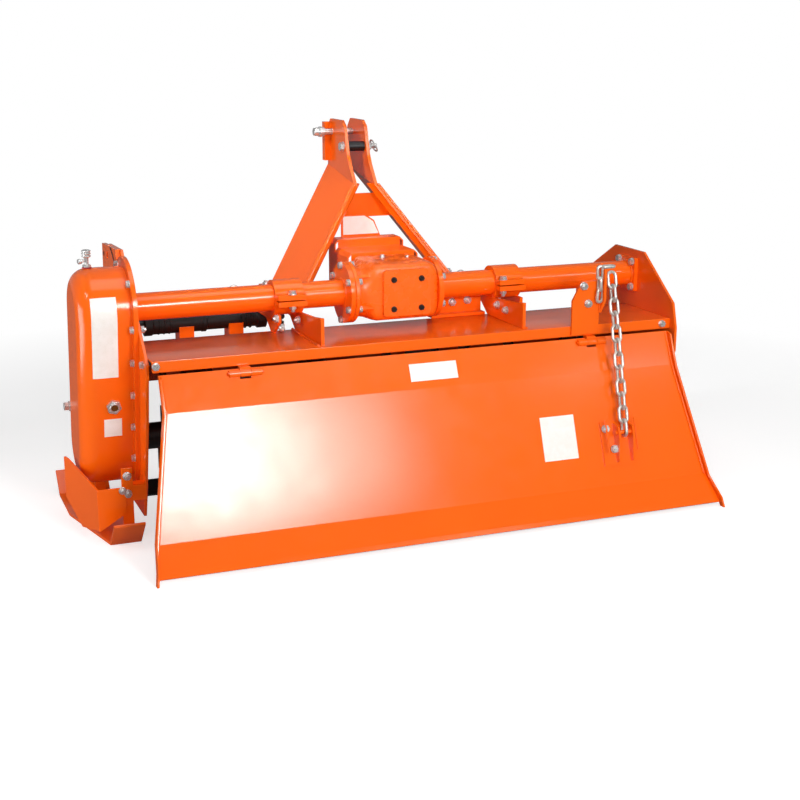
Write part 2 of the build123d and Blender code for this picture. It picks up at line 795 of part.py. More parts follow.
# ---- tail board: folded panel, end ribs and chain bracket ----
lip_foot = hood_top - hood_lip
board_top = (hinge_y + board_top_in, lip_foot - board_slot)
panel_path = (board_lip_end, board_lip, board_fold_low, board_fold_up, board_top)
with BuildPart() as tail_board:
    with BuildSketch(across(-board_half)):
        with BuildLine():
            Polyline(*band(panel_path, sheet_t), close=True)
        make_face()
    extrude(amount=2 * board_half)
    with BuildSketch(facing_rear(0)):
        with BuildLine():
            Polyline((-board_half_foot + rib_t, 0), (board_half_foot - rib_t, 0),
                     (board_half_top - rib_t, board_fold_up[1]), (board_half_top - rib_t, hood_top),
                     (-board_half_top + rib_t, hood_top), (-board_half_top + rib_t, board_fold_up[1]), close=True)
        make_face()
    extrude(amount=-rib_foot_rear, mode=Mode.INTERSECT)
    for start in hinge_starts.values():
        with BuildSketch(across(start + knuckle_len - knuckle_gap)):
            with BuildLine():
                Polyline((hood_rear + sheet_t, hood_top), (hood_rear + sheet_t, hinge_z - knuckle_r - sheet_t),
                         (board_fold_up[0], hinge_z - knuckle_r - sheet_t), (board_fold_up[0], hood_top),
                         close=True)
            make_face()
        extrude(amount=knuckle_len + knuckle_gap, mode=Mode.SUBTRACT)
        for x in (start, start + 2 * knuckle_len):
            with BuildSketch(across(x)):
                with Locations((hinge_y, hinge_z)):
                    Circle(knuckle_r)
            extrude(amount=knuckle_len - knuckle_gap)
        with BuildSketch(across(start - 2 * hinge_pin_end)):
            with Locations((hinge_y, hinge_z)):
                Circle(hinge_pin_r + gap)
        extrude(amount=3 * knuckle_len + 4 * hinge_pin_end, mode=Mode.SUBTRACT)
tail_board.part.label = "tail_board"
export_step(tail_board.part, "parts/tail_board.step")

rib_outline = (
    (board_lip_end[0], 0), (rib_foot_rear, 0), (board_lip[0] - rib_proud, board_lip[1] + rib_lip_rise[0]),
    (board_fold_low[0] - rib_proud, board_fold_low[1]), (board_fold_up[0] - rib_proud, board_fold_up[1]),
    (hinge_y + rib_top[0][0], hinge_z + rib_top[0][1]), (hinge_y + rib_top[1][0], hinge_z + rib_top[1][1]),
    (board_fold_up[0] + rib_in, board_fold_up[1]), (board_fold_low[0] + rib_in, board_fold_low[1]),
    (board_lip[0] + rib_in, board_lip[1] + rib_lip_rise[1]),
)
for side, sign in (("left", -1), ("right", 1)):
    with BuildPart() as tail_rib:
        with BuildSketch(across(-board_half)):
            with BuildLine():
                Polyline(*rib_outline, close=True)
            make_face()
        extrude(amount=2 * board_half)
        with BuildSketch(facing_rear(0)):
            with BuildLine():
                Polyline((sign * board_half_foot, 0), (sign * board_half_top, board_fold_up[1]),
                         (sign * board_half_top, hood_top), (sign * (board_half_top - rib_t), hood_top),
                         (sign * (board_half_top - rib_t), board_fold_up[1]),
                         (sign * (board_half_foot - rib_t), 0), close=True)
            make_face()
        extrude(amount=-rib_foot_rear, mode=Mode.INTERSECT)
    tail_rib.part.label = f"tail_rib_{side}"
    export_step(tail_rib.part, f"parts/tail_rib_{side}.step")

# hood's half of the hinges, with their pins
for side, start in hinge_starts.items():
    with BuildPart() as hinge:
        with BuildSketch(across(start + knuckle_len)):
            with Locations((hinge_y, hinge_z)):
                Circle(knuckle_r)
            with BuildLine():
                Polyline((hinge_y, hinge_z), (hood_rear + sheet_t, hinge_z),
                         (hood_rear + sheet_t, lip_foot), (hinge_y, lip_foot), close=True)
            make_face()
        extrude(amount=knuckle_len - knuckle_gap)
        with BuildSketch(across(start - hinge_pin_end)):
            with Locations((hinge_y, hinge_z)):
                Circle(hinge_pin_r)
        extrude(amount=3 * knuckle_len + 2 * hinge_pin_end)
    hinge.part.label = f"hinge_{side}"
    export_step(hinge.part, f"parts/hinge_{side}.step")

# chain bracket on the board: base plate and two cheeks with a pin
board_dir = Vector(0, board_fold_up[0] - board_fold_low[0], board_fold_up[1] - board_fold_low[1]).normalized()
board_out = Vector(0, -board_dir.Z, board_dir.Y)
chain_x = board_half_top - chain_low[0]
pin_mid = Vector(mid_x + chain_x, tube_y + chain_low[1], chain_low[2])
fold = Vector(mid_x + chain_x, tube_y + board_fold_low[0], board_fold_low[1])
pin_reach = (pin_mid - fold).dot(board_out)
base_mid = pin_mid - board_out * pin_reach
base_plane = Plane(origin=base_mid, x_dir=(1, 0, 0), z_dir=board_out)
cheek_out = cheek_gap / 2 + cheek_t
with BuildPart() as tail_bracket:
    with BuildSketch(base_plane):
        with Locations(base_shift):
            Rectangle(*base_size)
    extrude(amount=base_t)
    for x in (-cheek_out, cheek_gap / 2):
        with BuildSketch(Plane(origin=base_mid + Vector(x, 0, 0), x_dir=board_out, z_dir=(1, 0, 0))):
            with BuildLine():
                Polyline((base_t, cheek_tall[0]), (base_t, cheek_tall[1]), (pin_reach + cheek_nose[0], cheek_nose[1]),
                         (pin_reach + cheek_nose[0], cheek_nose[2]), (cheek_slope, cheek_tall[0]), close=True)
            make_face()
        extrude(amount=cheek_t)
    with BuildSketch(Plane(origin=pin_mid - Vector(cheek_out + cross_pin_out, 0, 0), x_dir=(0, 1, 0),
                           z_dir=(1, 0, 0))):
        Circle(cross_pin_r)
    extrude(amount=2 * (cheek_out + cross_pin_out))
tail_bracket.part.label = "tail_bracket"
export_step(tail_bracket.part, "parts/tail_bracket.step")

# ---- upper chain bracket on the hood's rear lip ----
bracket_left, bracket_right = (inner_half - side_in for side_in in bracket_in[::-1])
bracket_rear = hood_rear - bracket_t
with BuildPart() as chain_bracket:
    with BuildSketch(facing_rear(hood_rear)):
        with BuildLine():
            Polyline((bracket_left, bracket_low), (bracket_right, bracket_low), (bracket_right, bracket_top),
                     (bracket_left + bracket_shoulder[0], bracket_top), (bracket_left, bracket_shoulder[1]),
                     close=True)
        make_face()
    extrude(amount=bracket_t)
    with BuildSketch(across(bracket_right)):
        with BuildLine():
            Polyline((hood_rear, wing_low), (bracket_rear, wing_low), (bracket_rear - wing_deep, wing_foot),
                     (bracket_rear - wing_deep, wing_top), (hood_rear, wing_top), close=True)
        make_face()
    extrude(amount=bracket_t)
chain_bracket.part.label = "chain_bracket"
export_step(chain_bracket.part, "parts/chain_bracket.step")

# ---- chain from the tail bracket's pin up to the upper bracket's wing ----
chain_top_point = Vector(mid_x + inner_half - chain_top[0], tube_y + chain_top[1], chain_top[2])
chain_run = chain_top_point - pin_mid
link_count = int(chain_run.length / link_pitch)
along = chain_run.normalized()
sideways = Vector(1, 0, 0).cross(along).normalized()
flat_across = along.cross(sideways).normalized()
link_end = link_pitch / 2 + wire_r - gap
with BuildPart() as chain:
    for i in range(link_count):
        link_normal = flat_across if i % 2 == 0 else sideways
        link_mid = pin_mid + along * (link_pitch * i + link_end - wire_r - cross_pin_r - link_play)
        with BuildLine(Plane(origin=link_mid, x_dir=along, z_dir=link_normal)) as link_line:
            Line((link_half - link_end, -link_half), (link_end - link_half, -link_half))
            CenterArc((link_end - link_half, 0), link_half, -90, 180)
            Line((link_end - link_half, link_half), (link_half - link_end, link_half))
            CenterArc((link_half - link_end, 0), link_half, 90, 180)
        link_wire = link_line.wires()[0]
        with BuildSketch(Plane(origin=link_wire @ 0, z_dir=link_wire % 0)):
            Circle(wire_r)
        sweep(path=link_wire)
chain.part.label = "chain"
export_step(chain.part, "parts/chain.step")

# ---- rotor: tube, flanges, shaft and L-shaped tines ----
with BuildPart() as rotor:
    for half, radius in ((rotor_half, rotor_tube_r), (outer_half + shaft_in_hub, rotor_shaft_r)):
        with BuildSketch(across(-half)):
            with Locations((rotor_y, rotor_z)):
                Circle(radius)
        extrude(amount=2 * half)
    for i in range(disc_count):
        disc_x = disc_pitch * (i - (disc_count - 1) / 2)
        with BuildSketch(across(disc_x - disc_t / 2)):
            with Locations((rotor_y, rotor_z)):
                Circle(disc_r)
        extrude(amount=disc_t)
        for j in range(tines_per_disc):
            turn = math.radians(360 * j / tines_per_disc + tine_stagger * i)
            side = 1 if j % 2 == 0 else -1
            near = side * disc_t / 2
            root = disc_r - tine_seat
            blade = tine_reach - tine_t
            tine_plane = Plane(origin=(mid_x + disc_x, tube_y + rotor_y, rotor_z), x_dir=(1, 0, 0),
                               z_dir=(0, -math.sin(turn), math.cos(turn)))
            with BuildSketch(tine_plane):
                with BuildLine():
                    Polyline((near, root), (near, tine_reach - tine_bend), (near + side * tine_bend, tine_reach),
                             (near + side * tine_foot, tine_reach), (near + side * tine_foot, blade),
                             (near + side * tine_fillet, blade), (near + side * tine_t, tine_reach - tine_fillet),
                             (near + side * tine_t, root), close=True)
                make_face()
            extrude(amount=tine_w / 2, both=True)
rotor.part.label = "rotor"
export_step(rotor.part, "parts/rotor.step")
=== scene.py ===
import math

import bmesh
import bpy
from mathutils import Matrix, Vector


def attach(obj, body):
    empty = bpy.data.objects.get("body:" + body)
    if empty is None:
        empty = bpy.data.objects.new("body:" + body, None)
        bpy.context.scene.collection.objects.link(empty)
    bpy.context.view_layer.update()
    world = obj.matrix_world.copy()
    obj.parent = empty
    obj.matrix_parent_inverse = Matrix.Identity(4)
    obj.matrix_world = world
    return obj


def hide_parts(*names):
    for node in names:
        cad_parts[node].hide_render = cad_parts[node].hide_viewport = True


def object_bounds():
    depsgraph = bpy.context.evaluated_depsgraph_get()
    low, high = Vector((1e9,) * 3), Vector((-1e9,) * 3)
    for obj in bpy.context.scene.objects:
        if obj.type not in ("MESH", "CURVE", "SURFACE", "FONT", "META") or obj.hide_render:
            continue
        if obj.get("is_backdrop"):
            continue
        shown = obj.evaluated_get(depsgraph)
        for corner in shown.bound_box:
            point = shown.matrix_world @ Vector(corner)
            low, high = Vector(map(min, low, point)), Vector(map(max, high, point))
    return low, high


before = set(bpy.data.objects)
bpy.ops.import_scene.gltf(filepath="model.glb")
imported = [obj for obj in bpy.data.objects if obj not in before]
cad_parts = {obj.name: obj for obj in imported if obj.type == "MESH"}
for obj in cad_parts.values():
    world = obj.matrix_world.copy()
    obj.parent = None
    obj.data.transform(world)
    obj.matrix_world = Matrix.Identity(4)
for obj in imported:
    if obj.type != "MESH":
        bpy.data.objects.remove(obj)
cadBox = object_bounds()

for leftover in ("Cube", "Light", "Camera"):
    if leftover in bpy.data.objects:
        bpy.data.objects.remove(bpy.data.objects[leftover])

scene = bpy.context.scene
scene.view_settings.view_transform = "Standard"

# millimetres counted from the machine's centre plane, the main tube's axis and the floor
machine = {"midX": 39.5, "tubeY": -2.0, "tubeZ": 624, "tubeR": 38, "rotorY": 70, "rotorZ": 235}
leftward, rightward = (-1, 0, 0), (1, 0, 0)
rearward, forward = (0, -1, 0), (0, 1, 0)
downward, upward = (0, 0, -1), (0, 0, 1)


def at(x, y, z):
    # a point of the machine, in the frame's metres
    return Vector(((x + machine["midX"]) / 1000, (y + machine["tubeY"]) / 1000, z / 1000))


# place in metres, angles in degrees, lens and sensor in millimetres
camera = {"place": (-1.4445, -3.768, 1.356), "turn": -21.64, "tilt": 14.8, "lens": 63, "sensor": 36}
cameraData = bpy.data.cameras.new("camera")
cameraData.lens = camera["lens"]
cameraData.sensor_width = camera["sensor"]
cameraObject = bpy.data.objects.new("camera", cameraData)
cameraObject.location = camera["place"]
cameraObject.rotation_euler = (math.radians(90 - camera["tilt"]), 0, math.radians(camera["turn"]))
scene.collection.objects.link(cameraObject)
scene.camera = cameraObject


def linear(hexColour):
    parts = [int(hexColour[i:i + 2], 16) / 255 for i in (1, 3, 5)]
    return [c / 12.92 if c <= 0.04045 else ((c + 0.055) / 1.055) ** 2.4 for c in parts] + [1]


def addNode(tree, kind, settings=None, links=None):
    node = tree.nodes.new(kind)
    for key, value in (settings or {}).items():
        if key == "stops":
            stops = node.color_ramp.elements
            while len(stops) < len(value):
                stops.new(0.5)
            for stop, (place, colour) in zip(stops, value):
                stop.position = place
                stop.color = colour
        elif isinstance(key, str) and hasattr(node, key):
            setattr(node, key, value)
        else:
            node.inputs[key].default_value = value
    for key, source in (links or {}).items():
        tree.links.new(source, node.inputs[key])
    return node


def newMaterial(name):
    material = bpy.data.materials.new(name)
    material.use_nodes = True
    tree = material.node_tree
    tree.nodes.clear()
    coords = addNode(tree, "ShaderNodeTexCoord").outputs["Object"]
    return material, tree, coords, addNode(tree, "ShaderNodeOutputMaterial")


def enamel(name, hexColour, paint):
    material, tree, coords, output = newMaterial(name)
    base = linear(hexColour)
    shaded = [c * paint["shade"] for c in base[:3]] + [1]
    cloud = addNode(tree, "ShaderNodeTexNoise", {"Scale": 1000 / paint["cloudMm"], "Detail": 2},
                    {"Vector": coords})
    tint = addNode(tree, "ShaderNodeValToRGB", {"stops": [(0.3, shaded), (0.7, base)]},
                   {"Fac": cloud.outputs["Fac"]})
    smudge = addNode(tree, "ShaderNodeTexNoise", {
        "Scale": 1000 / paint["smudgeMm"], "Detail": 5, "Roughness": 0.6}, {"Vector": coords})
    smooth, worn = (paint["rough"] * share for share in paint["roughShares"])
    shine = addNode(tree, "ShaderNodeMapRange", {
        "From Min": 0.3, "From Max": 0.75, "To Min": smooth, "To Max": worn},
        {"Value": smudge.outputs["Fac"]})
    peel = addNode(tree, "ShaderNodeTexNoise", {"Scale": 1000 / paint["peelMm"], "Detail": 2},
                   {"Vector": coords})
    bump = addNode(tree, "ShaderNodeBump", {"Strength": 0.5, "Distance": paint["peelDeep"] / 1000},
                   {"Height": peel.outputs["Fac"]})
    if "sandMm" in paint:
        sand = addNode(tree, "ShaderNodeTexNoise", {
            "Scale": 1000 / paint["sandMm"], "Detail": 4, "Roughness": 0.65}, {"Vector": coords})
        bump = addNode(tree, "ShaderNodeBump", {"Strength": 0.8, "Distance": paint["sandDeep"] / 1000},
                       {"Height": sand.outputs["Fac"], "Normal": bump.outputs["Normal"]})
    shader = addNode(tree, "ShaderNodeBsdfPrincipled", {"IOR": 1.5, "Specular IOR Level": paint["gloss"]},
                     {"Base Color": tint.outputs["Color"], "Roughness": shine.outputs["Result"],
                      "Normal": bump.outputs["Normal"]})
    tree.links.new(shader.outputs[0], output.inputs["Surface"])
    return material


# stove enamel on pressed sheet: deep gloss with a faint orange peel, lengths and depths in millimetres
sheetPaint = {"rough": 0.17, "roughShares": (0.85, 1.25), "shade": 0.95, "cloudMm": 260, "smudgeMm": 45,
              "peelMm": 5, "peelDeep": 0.04, "gloss": 0.5}
sheetEnamel = enamel("orangeStoveEnamel", "#FF680C", sheetPaint)
# the same enamel over sand castings: the mould's grain shows through, drawn at 3 mm so that it can be seen
castPaint = dict(sheetPaint, rough=0.26, sandMm=3.2, sandDeep=0.5)
castEnamel = enamel("orangeEnamelOnCastIron", "#FF6A10", castPaint)
# satin black enamel on forged tines and yokes
blackPaint = dict(sheetPaint, rough=0.36)
blackEnamel = enamel("blackEnamel", "#141416", blackPaint)


def barePart(name, hexColour, tintHex, rough, grainMm, patchMm=9, metal=0):
    material, tree, coords, output = newMaterial(name)
    patch = addNode(tree, "ShaderNodeTexNoise", {"Scale": 1000 / patchMm, "Detail": 3}, {"Vector": coords})
    tint = addNode(tree, "ShaderNodeValToRGB", {
        "stops": [(0.35, linear(tintHex)), (0.65, linear(hexColour))]}, {"Fac": patch.outputs["Fac"]})
    grain = addNode(tree, "ShaderNodeTexNoise", {"Scale": 1000 / grainMm, "Detail": 3, "Roughness": 0.7},
                    {"Vector": coords})
    shine = addNode(tree, "ShaderNodeMapRange", {
        "From Min": 0.3, "From Max": 0.7, "To Min": rough * 0.75, "To Max": rough * 1.35},
        {"Value": grain.outputs["Fac"]})
    bump = addNode(tree, "ShaderNodeBump", {"Strength": 0.35, "Distance": 0.0001},
                   {"Height": grain.outputs["Fac"]})
    shader = addNode(tree, "ShaderNodeBsdfPrincipled", {"Metallic": metal},
                     {"Base Color": tint.outputs["Color"], "Roughness": shine.outputs["Result"],
                      "Normal": bump.outputs["Normal"]})
    tree.links.new(shader.outputs[0], output.inputs["Surface"])
    return material


# zinc plate, clear passivated: pale, slightly blue, soft sheen
zincPlate = barePart("zincPlatedSteel", "#E0E2E3", "#CBCAC7", rough=0.26, grainMm=1.6, metal=0.7)
# galvanised chain: duller and more mottled
zincChain = barePart("galvanisedChain", "#E2E1DD", "#C6C4BD", rough=0.33, grainMm=2.4, metal=0.6)
# turned steel with a film of oil: grey and evenly bright
turnedSteel = barePart("turnedSteel", "#A8A8A6", "#8E8D8A", rough=0.3, grainMm=0.8, patchMm=12, metal=1)
# blackened high-tensile bolts: near black with a dull sheen; the same black is painted shade in the lifting
# tab's slot and hole
blackBoltAndShade = barePart("blackenedBoltAndSlotShade", "#2A2A2C", "#1D1D1F", rough=0.42, grainMm=1.2, metal=0.6)
# polyethylene guard tube: dull black with a fine moulded grain
guardPlastic = barePart("blackPolyethylene", "#0C0C0D", "#080809", rough=0.5, grainMm=1.4, patchMm=30)
# black rubber buffer: matt, slightly dusty
rubber = barePart("blackRubber", "#1C1B1A", "#121211", rough=0.75, grainMm=1.8)
# vinyl stickers, blank: smooth warm white; the same white is also a painted reflection on the gear case's
# rear wall
whiteVinylAndReflection = barePart("whiteVinylLabelAndReflection", "#F6F3EE", "#F1EDE6", rough=0.3, grainMm=3, patchMm=20)
# vulcanised fibre sealing washer: matt red
redFibre = barePart("redFibreWasher", "#B3201C", "#9A1A17", rough=0.5, grainMm=1.2)
# acrylic window of the sight glass: dark oil behind a clear lens, so a deep amber gloss
oilWindow = barePart("amberOilWindow", "#6B4014", "#5B340F", rough=0.12, grainMm=30, patchMm=6)

# mirrored rays see the floor and the backdrop at a share of their white, so that the paint keeps its depth
studio = {
    "floor": 16.0, "floorHex": "#D8D8D8", "glow": 0.62, "sweepFrom": 1.5, "sweepTo": 2.9, "ambient": 0.075,
    "floorMirrored": 0.12, "backdropMirrored": 0.34, "roomMirrored": 0.2, "roomFrom": -0.15, "roomTo": 0.35,
}


def seenRays(tree):
    # 1 for rays that go straight or through glass, and 1 for mirrored rays
    paths = addNode(tree, "ShaderNodeLightPath").outputs
    either = addNode(tree, "ShaderNodeMath", {"operation": "MAXIMUM"},
                     {0: paths["Is Camera Ray"], 1: paths["Is Transmission Ray"]})
    return either.outputs[0], paths["Is Glossy Ray"]


half = studio["floor"] / 2
floorCorners = [(-half, -half, 0), (half, -half, 0), (half, half, 0), (-half, half, 0)]
floorMesh = bpy.data.meshes.new("floor")
floorMesh.from_pydata(floorCorners, [], [(0, 1, 2, 3)])
floor = bpy.data.objects.new("floor", floorMesh)
scene.collection.objects.link(floor)
# pale matt floor: it takes the shadow near the machine and fades to the backdrop's white further out
floorMaterial, tree, coords, output = newMaterial("paleStudioFloor")
straight, mirrored = seenRays(tree)
matt = addNode(tree, "ShaderNodeBsdfDiffuse", {"Color": linear(studio["floorHex"])})
glow = addNode(tree, "ShaderNodeEmission", {"Strength": studio["glow"]})
lit = addNode(tree, "ShaderNodeAddShader", None, {0: matt.outputs[0], 1: glow.outputs[0]})
away = addNode(tree, "ShaderNodeVectorMath", {"operation": "LENGTH"}, {0: coords})
fade = addNode(tree, "ShaderNodeMapRange", {"From Min": studio["sweepFrom"], "From Max": studio["sweepTo"]},
               {"Value": away.outputs["Value"]})
plain = addNode(tree, "ShaderNodeEmission", {"Strength": 1.0})
sweep = addNode(tree, "ShaderNodeMixShader", None,
                {0: fade.outputs[0], 1: lit.outputs[0], 2: plain.outputs[0]})
sheen = addNode(tree, "ShaderNodeEmission", {"Strength": studio["floorMirrored"]})
bare = addNode(tree, "ShaderNodeMixShader", None, {0: mirrored, 1: matt.outputs[0], 2: sheen.outputs[0]})
pick = addNode(tree, "ShaderNodeMixShader", None, {0: straight, 1: bare.outputs[0], 2: sweep.outputs[0]})
tree.links.new(pick.outputs[0], output.inputs["Surface"])
floorMesh.materials.append(floorMaterial)
floor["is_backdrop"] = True

# the backdrop beyond the machine is white; mirrored rays find the room behind the camera darker
world = bpy.data.worlds.new("studio")
scene.world = world
world.use_nodes = True
tree = world.node_tree
tree.nodes.clear()
straight, mirrored = seenRays(tree)
aim = addNode(tree, "ShaderNodeTexCoord").outputs["Object"]
away = addNode(tree, "ShaderNodeSeparateXYZ", None, {0: aim})
room = addNode(tree, "ShaderNodeMapRange", {
    "From Min": studio["roomFrom"], "From Max": studio["roomTo"], "To Min": studio["roomMirrored"],
    "To Max": studio["backdropMirrored"]}, {"Value": away.outputs["Y"]})
soft = addNode(tree, "ShaderNodeBackground", {"Color": (1, 1, 1, 1), "Strength": studio["ambient"]})
walls = addNode(tree, "ShaderNodeBackground", {"Color": (1, 1, 1, 1)}, {"Strength": room.outputs[0]})
white = addNode(tree, "ShaderNodeBackground", {"Color": (1, 1, 1, 1), "Strength": 1.0})
shine = addNode(tree, "ShaderNodeMixShader", None, {0: mirrored, 1: soft.outputs[0], 2: walls.outputs[0]})
pick = addNode(tree, "ShaderNodeMixShader", None, {0: straight, 1: shine.outputs[0], 2: white.outputs[0]})
addNode(tree, "ShaderNodeOutputWorld", None, {"Surface": pick.outputs[0]})

lamps = {
    # name: place, aim and size in metres, watts, spread in degrees
    "rearSoftbox": ((0.3, -4.5, 2.02), (-0.35, -0.35, 0.25), (0.7, 0.85), 74, 180),
    "rearFeather": ((0.85, -4.5, 2.0), (-0.2, -0.35, 0.25), (0.4, 0.8), 24, 180),
    "rearFringe": ((1.3, -4.5, 1.98), (-0.1, -0.35, 0.25), (0.5, 0.75), 12, 180),
    "rearFill": ((-1.9, -4.6, 2.0), (0, 0, 0.4), (1.6, 1.2), 60, 180),
    "foldLight": ((3.3, -4.5, 2.8), (0.5, -0.3, 0.4), (0.9, 0.35), 14, 180),
    "highStrip": ((1.75, -3.55, 3.6), (0.0, 0.2, 0.7), (1.4, 0.35), 14, 180),
    "overhead": ((0.1, -0.5, 3.6), (0.1, 0.0, 0.3), (2.6, 1.8), 28, 180),
    "leftFill": ((-1.8, 0.0, 0.42), (-0.9, 0.0, 0.38), (0.6, 0.6), 6, 180),
    "mastSpot": ((-2.2, -1.0, 2.4), (-0.13, 0.3, 0.8), (0.5, 0.5), 1.5, 26),
}
for name, (place, target, size, watts, spread) in lamps.items():
    data = bpy.data.lights.new(name, "AREA")
    data.shape = "RECTANGLE"
    data.size, data.size_y = size
    data.energy = watts
    data.spread = math.radians(spread)
    lamp = bpy.data.objects.new(name, data)
    lamp.location = place
    lamp.rotation_euler = (Vector(target) - Vector(place)).to_track_quat("-Z", "Y").to_euler()
    scene.collection.objects.link(lamp)
print("stage: studio")

# angle in degrees above which an edge stays crisp, and cuts across a worn edge
fineness = {"sharpAngle": 36, "bevelSteps": 2}


def soften(piece, widthMm, limit="ANGLE"):
    # worn edges
    edge = piece.modifiers.new("softEdge", "BEVEL")
    edge.width = widthMm / 1000
    edge.segments = fineness["bevelSteps"]
    edge.limit_method = limit
    edge.angle_limit = math.radians(fineness["sharpAngle"])


def keep(name, mesh, material, body="frame", bevelMm=0, instead=()):
    piece = bpy.data.objects.new(name, mesh)
    scene.collection.objects.link(piece)
    mesh.materials.clear()
    mesh.materials.append(material)
    for polygon in mesh.polygons:
        polygon.use_smooth = True
        polygon.material_index = 0
    mesh.set_sharp_from_angle(angle=math.radians(fineness["sharpAngle"]))
    if bevelMm:
        soften(piece, bevelMm)
        # flat faces stay flat to the eye beside the rounded edges
        piece.modifiers.new("flatFaces", "WEIGHTED_NORMAL").keep_sharp = True
    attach(piece, body)
    if instead:
        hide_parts(*instead)
    return piece


class Shape:
    # gathers closed shells, in machine millimetres, into one mesh
    def __init__(self):
        self.points = []
        self.faces = []

    def rings(self, loops, closed=False):
        start = len(self.points)
        count = len(loops[0])
        for loop in loops:
            self.points += [Vector(p) for p in loop]
        turns = len(loops) if closed else len(loops) - 1
        for i in range(turns):
            a = start + i * count
            b = start + ((i + 1) % len(loops)) * count
            for j in range(count):
                k = (j + 1) % count
                self.faces.append((a + j, a + k, b + k, b + j))
        if not closed:
            last = start + (len(loops) - 1) * count
            self.faces.append(tuple(reversed(range(start, start + count))))
            self.faces.append(tuple(range(last, last + count)))

    def turned(self, profile, origin, axis, sides=40):
        # profile: distance along the axis and radius
        axis = Vector(axis).normalized()
        first = axis.orthogonal().normalized()
        second = axis.cross(first)
        loops = []
        for along, radius in profile:
            middle = Vector(origin) + axis * along
            loops.append([middle + (first * math.cos(t) + second * math.sin(t)) * radius
                          for t in (2 * math.pi * j / sides for j in range(sides))])
        self.rings(loops)

    def plate(self, outline, thickness):
        outline = [Vector(p) for p in outline]
        normal = (outline[1] - outline[0]).cross(outline[2] - outline[1]).normalized()
        self.rings([outline, [p + normal * thickness for p in outline]])

    def hoop(self, path, radius, sides=10):
        # a closed length of round wire
        path = [Vector(p) for p in path]
        loops = []
        side = None
        for i, point in enumerate(path):
            along = (path[(i + 1) % len(path)] - path[i - 1]).normalized()
            side = (along.orthogonal() if side is None else side - along * side.dot(along)).normalized()
            other = along.cross(side)
            loops.append([point + (side * math.cos(t) + other * math.sin(t)) * radius
                          for t in (2 * math.pi * j / sides for j in range(sides))])
        self.rings(loops, True)

    def mesh(self, name):
        mesh = bpy.data.meshes.new(name)
        mesh.from_pydata([at(*p) for p in self.points], [], self.faces)
        shells = bmesh.new()
        shells.from_mesh(mesh)
        bmesh.ops.recalc_face_normals(shells, faces=shells.faces)
        shells.to_mesh(mesh)
        shells.free()
        return mesh


def arc(middle, across, up, radius, start=0, sweep=360, steps=36):
    # points round a middle, angles in degrees; a full turn has its first point again at the end
    middle, across, up = Vector(middle), Vector(across), Vector(up)
    turns = (math.radians(start + sweep * i / steps) for i in range(steps + 1))
    return [middle + (across * math.cos(t) + up * math.sin(t)) * radius for t in turns]


def circle(middle, across, up, radius, steps, start=0):
    return arc(middle, across, up, radius, start, 360, steps)[:-1]


def startTree(name, inputs):
    tree = bpy.data.node_groups.new(name, "GeometryNodeTree")
    tree.interface.new_socket("Geometry", in_out="INPUT", socket_type="NodeSocketGeometry")
    for label, value in inputs.items():
        socket = tree.interface.new_socket(label, in_out="INPUT", socket_type="NodeSocketFloat")
        socket.default_value = value
    tree.interface.new_socket("Material", in_out="INPUT", socket_type="NodeSocketMaterial")
    tree.interface.new_socket("Geometry", in_out="OUTPUT", socket_type="NodeSocketGeometry")
    return tree, addNode(tree, "NodeGroupInput").outputs


def endTree(tree, grown, material):
    real = addNode(tree, "GeometryNodeRealizeInstances", None, {"Geometry": grown})
    painted = addNode(tree, "GeometryNodeSetMaterial", None, {
        "Geometry": real.outputs[0], "Material": material})
    addNode(tree, "NodeGroupOutput", None, {"Geometry": painted.outputs[0]})


def grow(tree, name, seedMesh, values):
    source = bpy.data.objects.new(name, seedMesh)
    scene.collection.objects.link(source)
    made = source.modifiers.new("made", "NODES")
    made.node_group = tree
    for item in tree.interface.items_tree:
        if item.in_out == "INPUT" and item.name in values:
            made[item.identifier] = values[item.name]
    graph = bpy.context.evaluated_depsgraph_get()
    mesh = bpy.data.meshes.new_from_object(source.evaluated_get(graph))
    bpy.data.objects.remove(source)
    return mesh


# bolts, one at each point, along the attribute "way": washer, hexagon head and stud end stand on each other
boltTree, boltIn = startTree("hexagonBolts", {
    "Washer Width": 0.022, "Washer Height": 0.002, "Head Width": 0.017, "Head Height": 0.008,
    "Stud Width": 0.01, "Stud Height": 0.0002})
below = None
joined = addNode(boltTree, "GeometryNodeJoinGeometry")
# radius as a share of the width: a hexagon's corners stand out past its flats
for part, sides, reach in (("Washer", 20, 0.5), ("Head", 6, 0.577), ("Stud", 14, 0.5)):
    high = boltIn[part + " Height"]
    base = {2: below.outputs[0]} if below else {}
    radius = addNode(boltTree, "ShaderNodeMath", {"operation": "MULTIPLY", 1: reach},
                     {0: boltIn[part + " Width"]})
    rod = addNode(boltTree, "GeometryNodeMeshCylinder", {"Vertices": sides}, {
        "Radius": radius.outputs[0], "Depth": high})
    middle = addNode(boltTree, "ShaderNodeMath", {"operation": "MULTIPLY_ADD", 1: 0.5, 2: 0.0},
                     {0: high, **base})
    below = addNode(boltTree, "ShaderNodeMath", {"operation": "MULTIPLY_ADD", 1: 1.0, 2: 0.0},
                    {0: high, **base})
    lift = addNode(boltTree, "ShaderNodeCombineXYZ", None, {"Z": middle.outputs[0]})
    stood = addNode(boltTree, "GeometryNodeTransform", None, {
        "Geometry": rod.outputs["Mesh"], "Translation": lift.outputs[0]})
    boltTree.links.new(stood.outputs[0], joined.inputs[0])
way = addNode(boltTree, "GeometryNodeInputNamedAttribute", {"data_type": "FLOAT_VECTOR", "Name": "way"})
turn = addNode(boltTree, "FunctionNodeAlignRotationToVector", {"axis": "Z"},
               {"Vector": way.outputs["Attribute"]})
placed = addNode(boltTree, "GeometryNodeInstanceOnPoints", None, {
    "Points": boltIn["Geometry"], "Instance": joined.outputs[0], "Rotation": turn.outputs[0]})
endTree(boltTree, placed.outputs[0], boltIn["Material"])

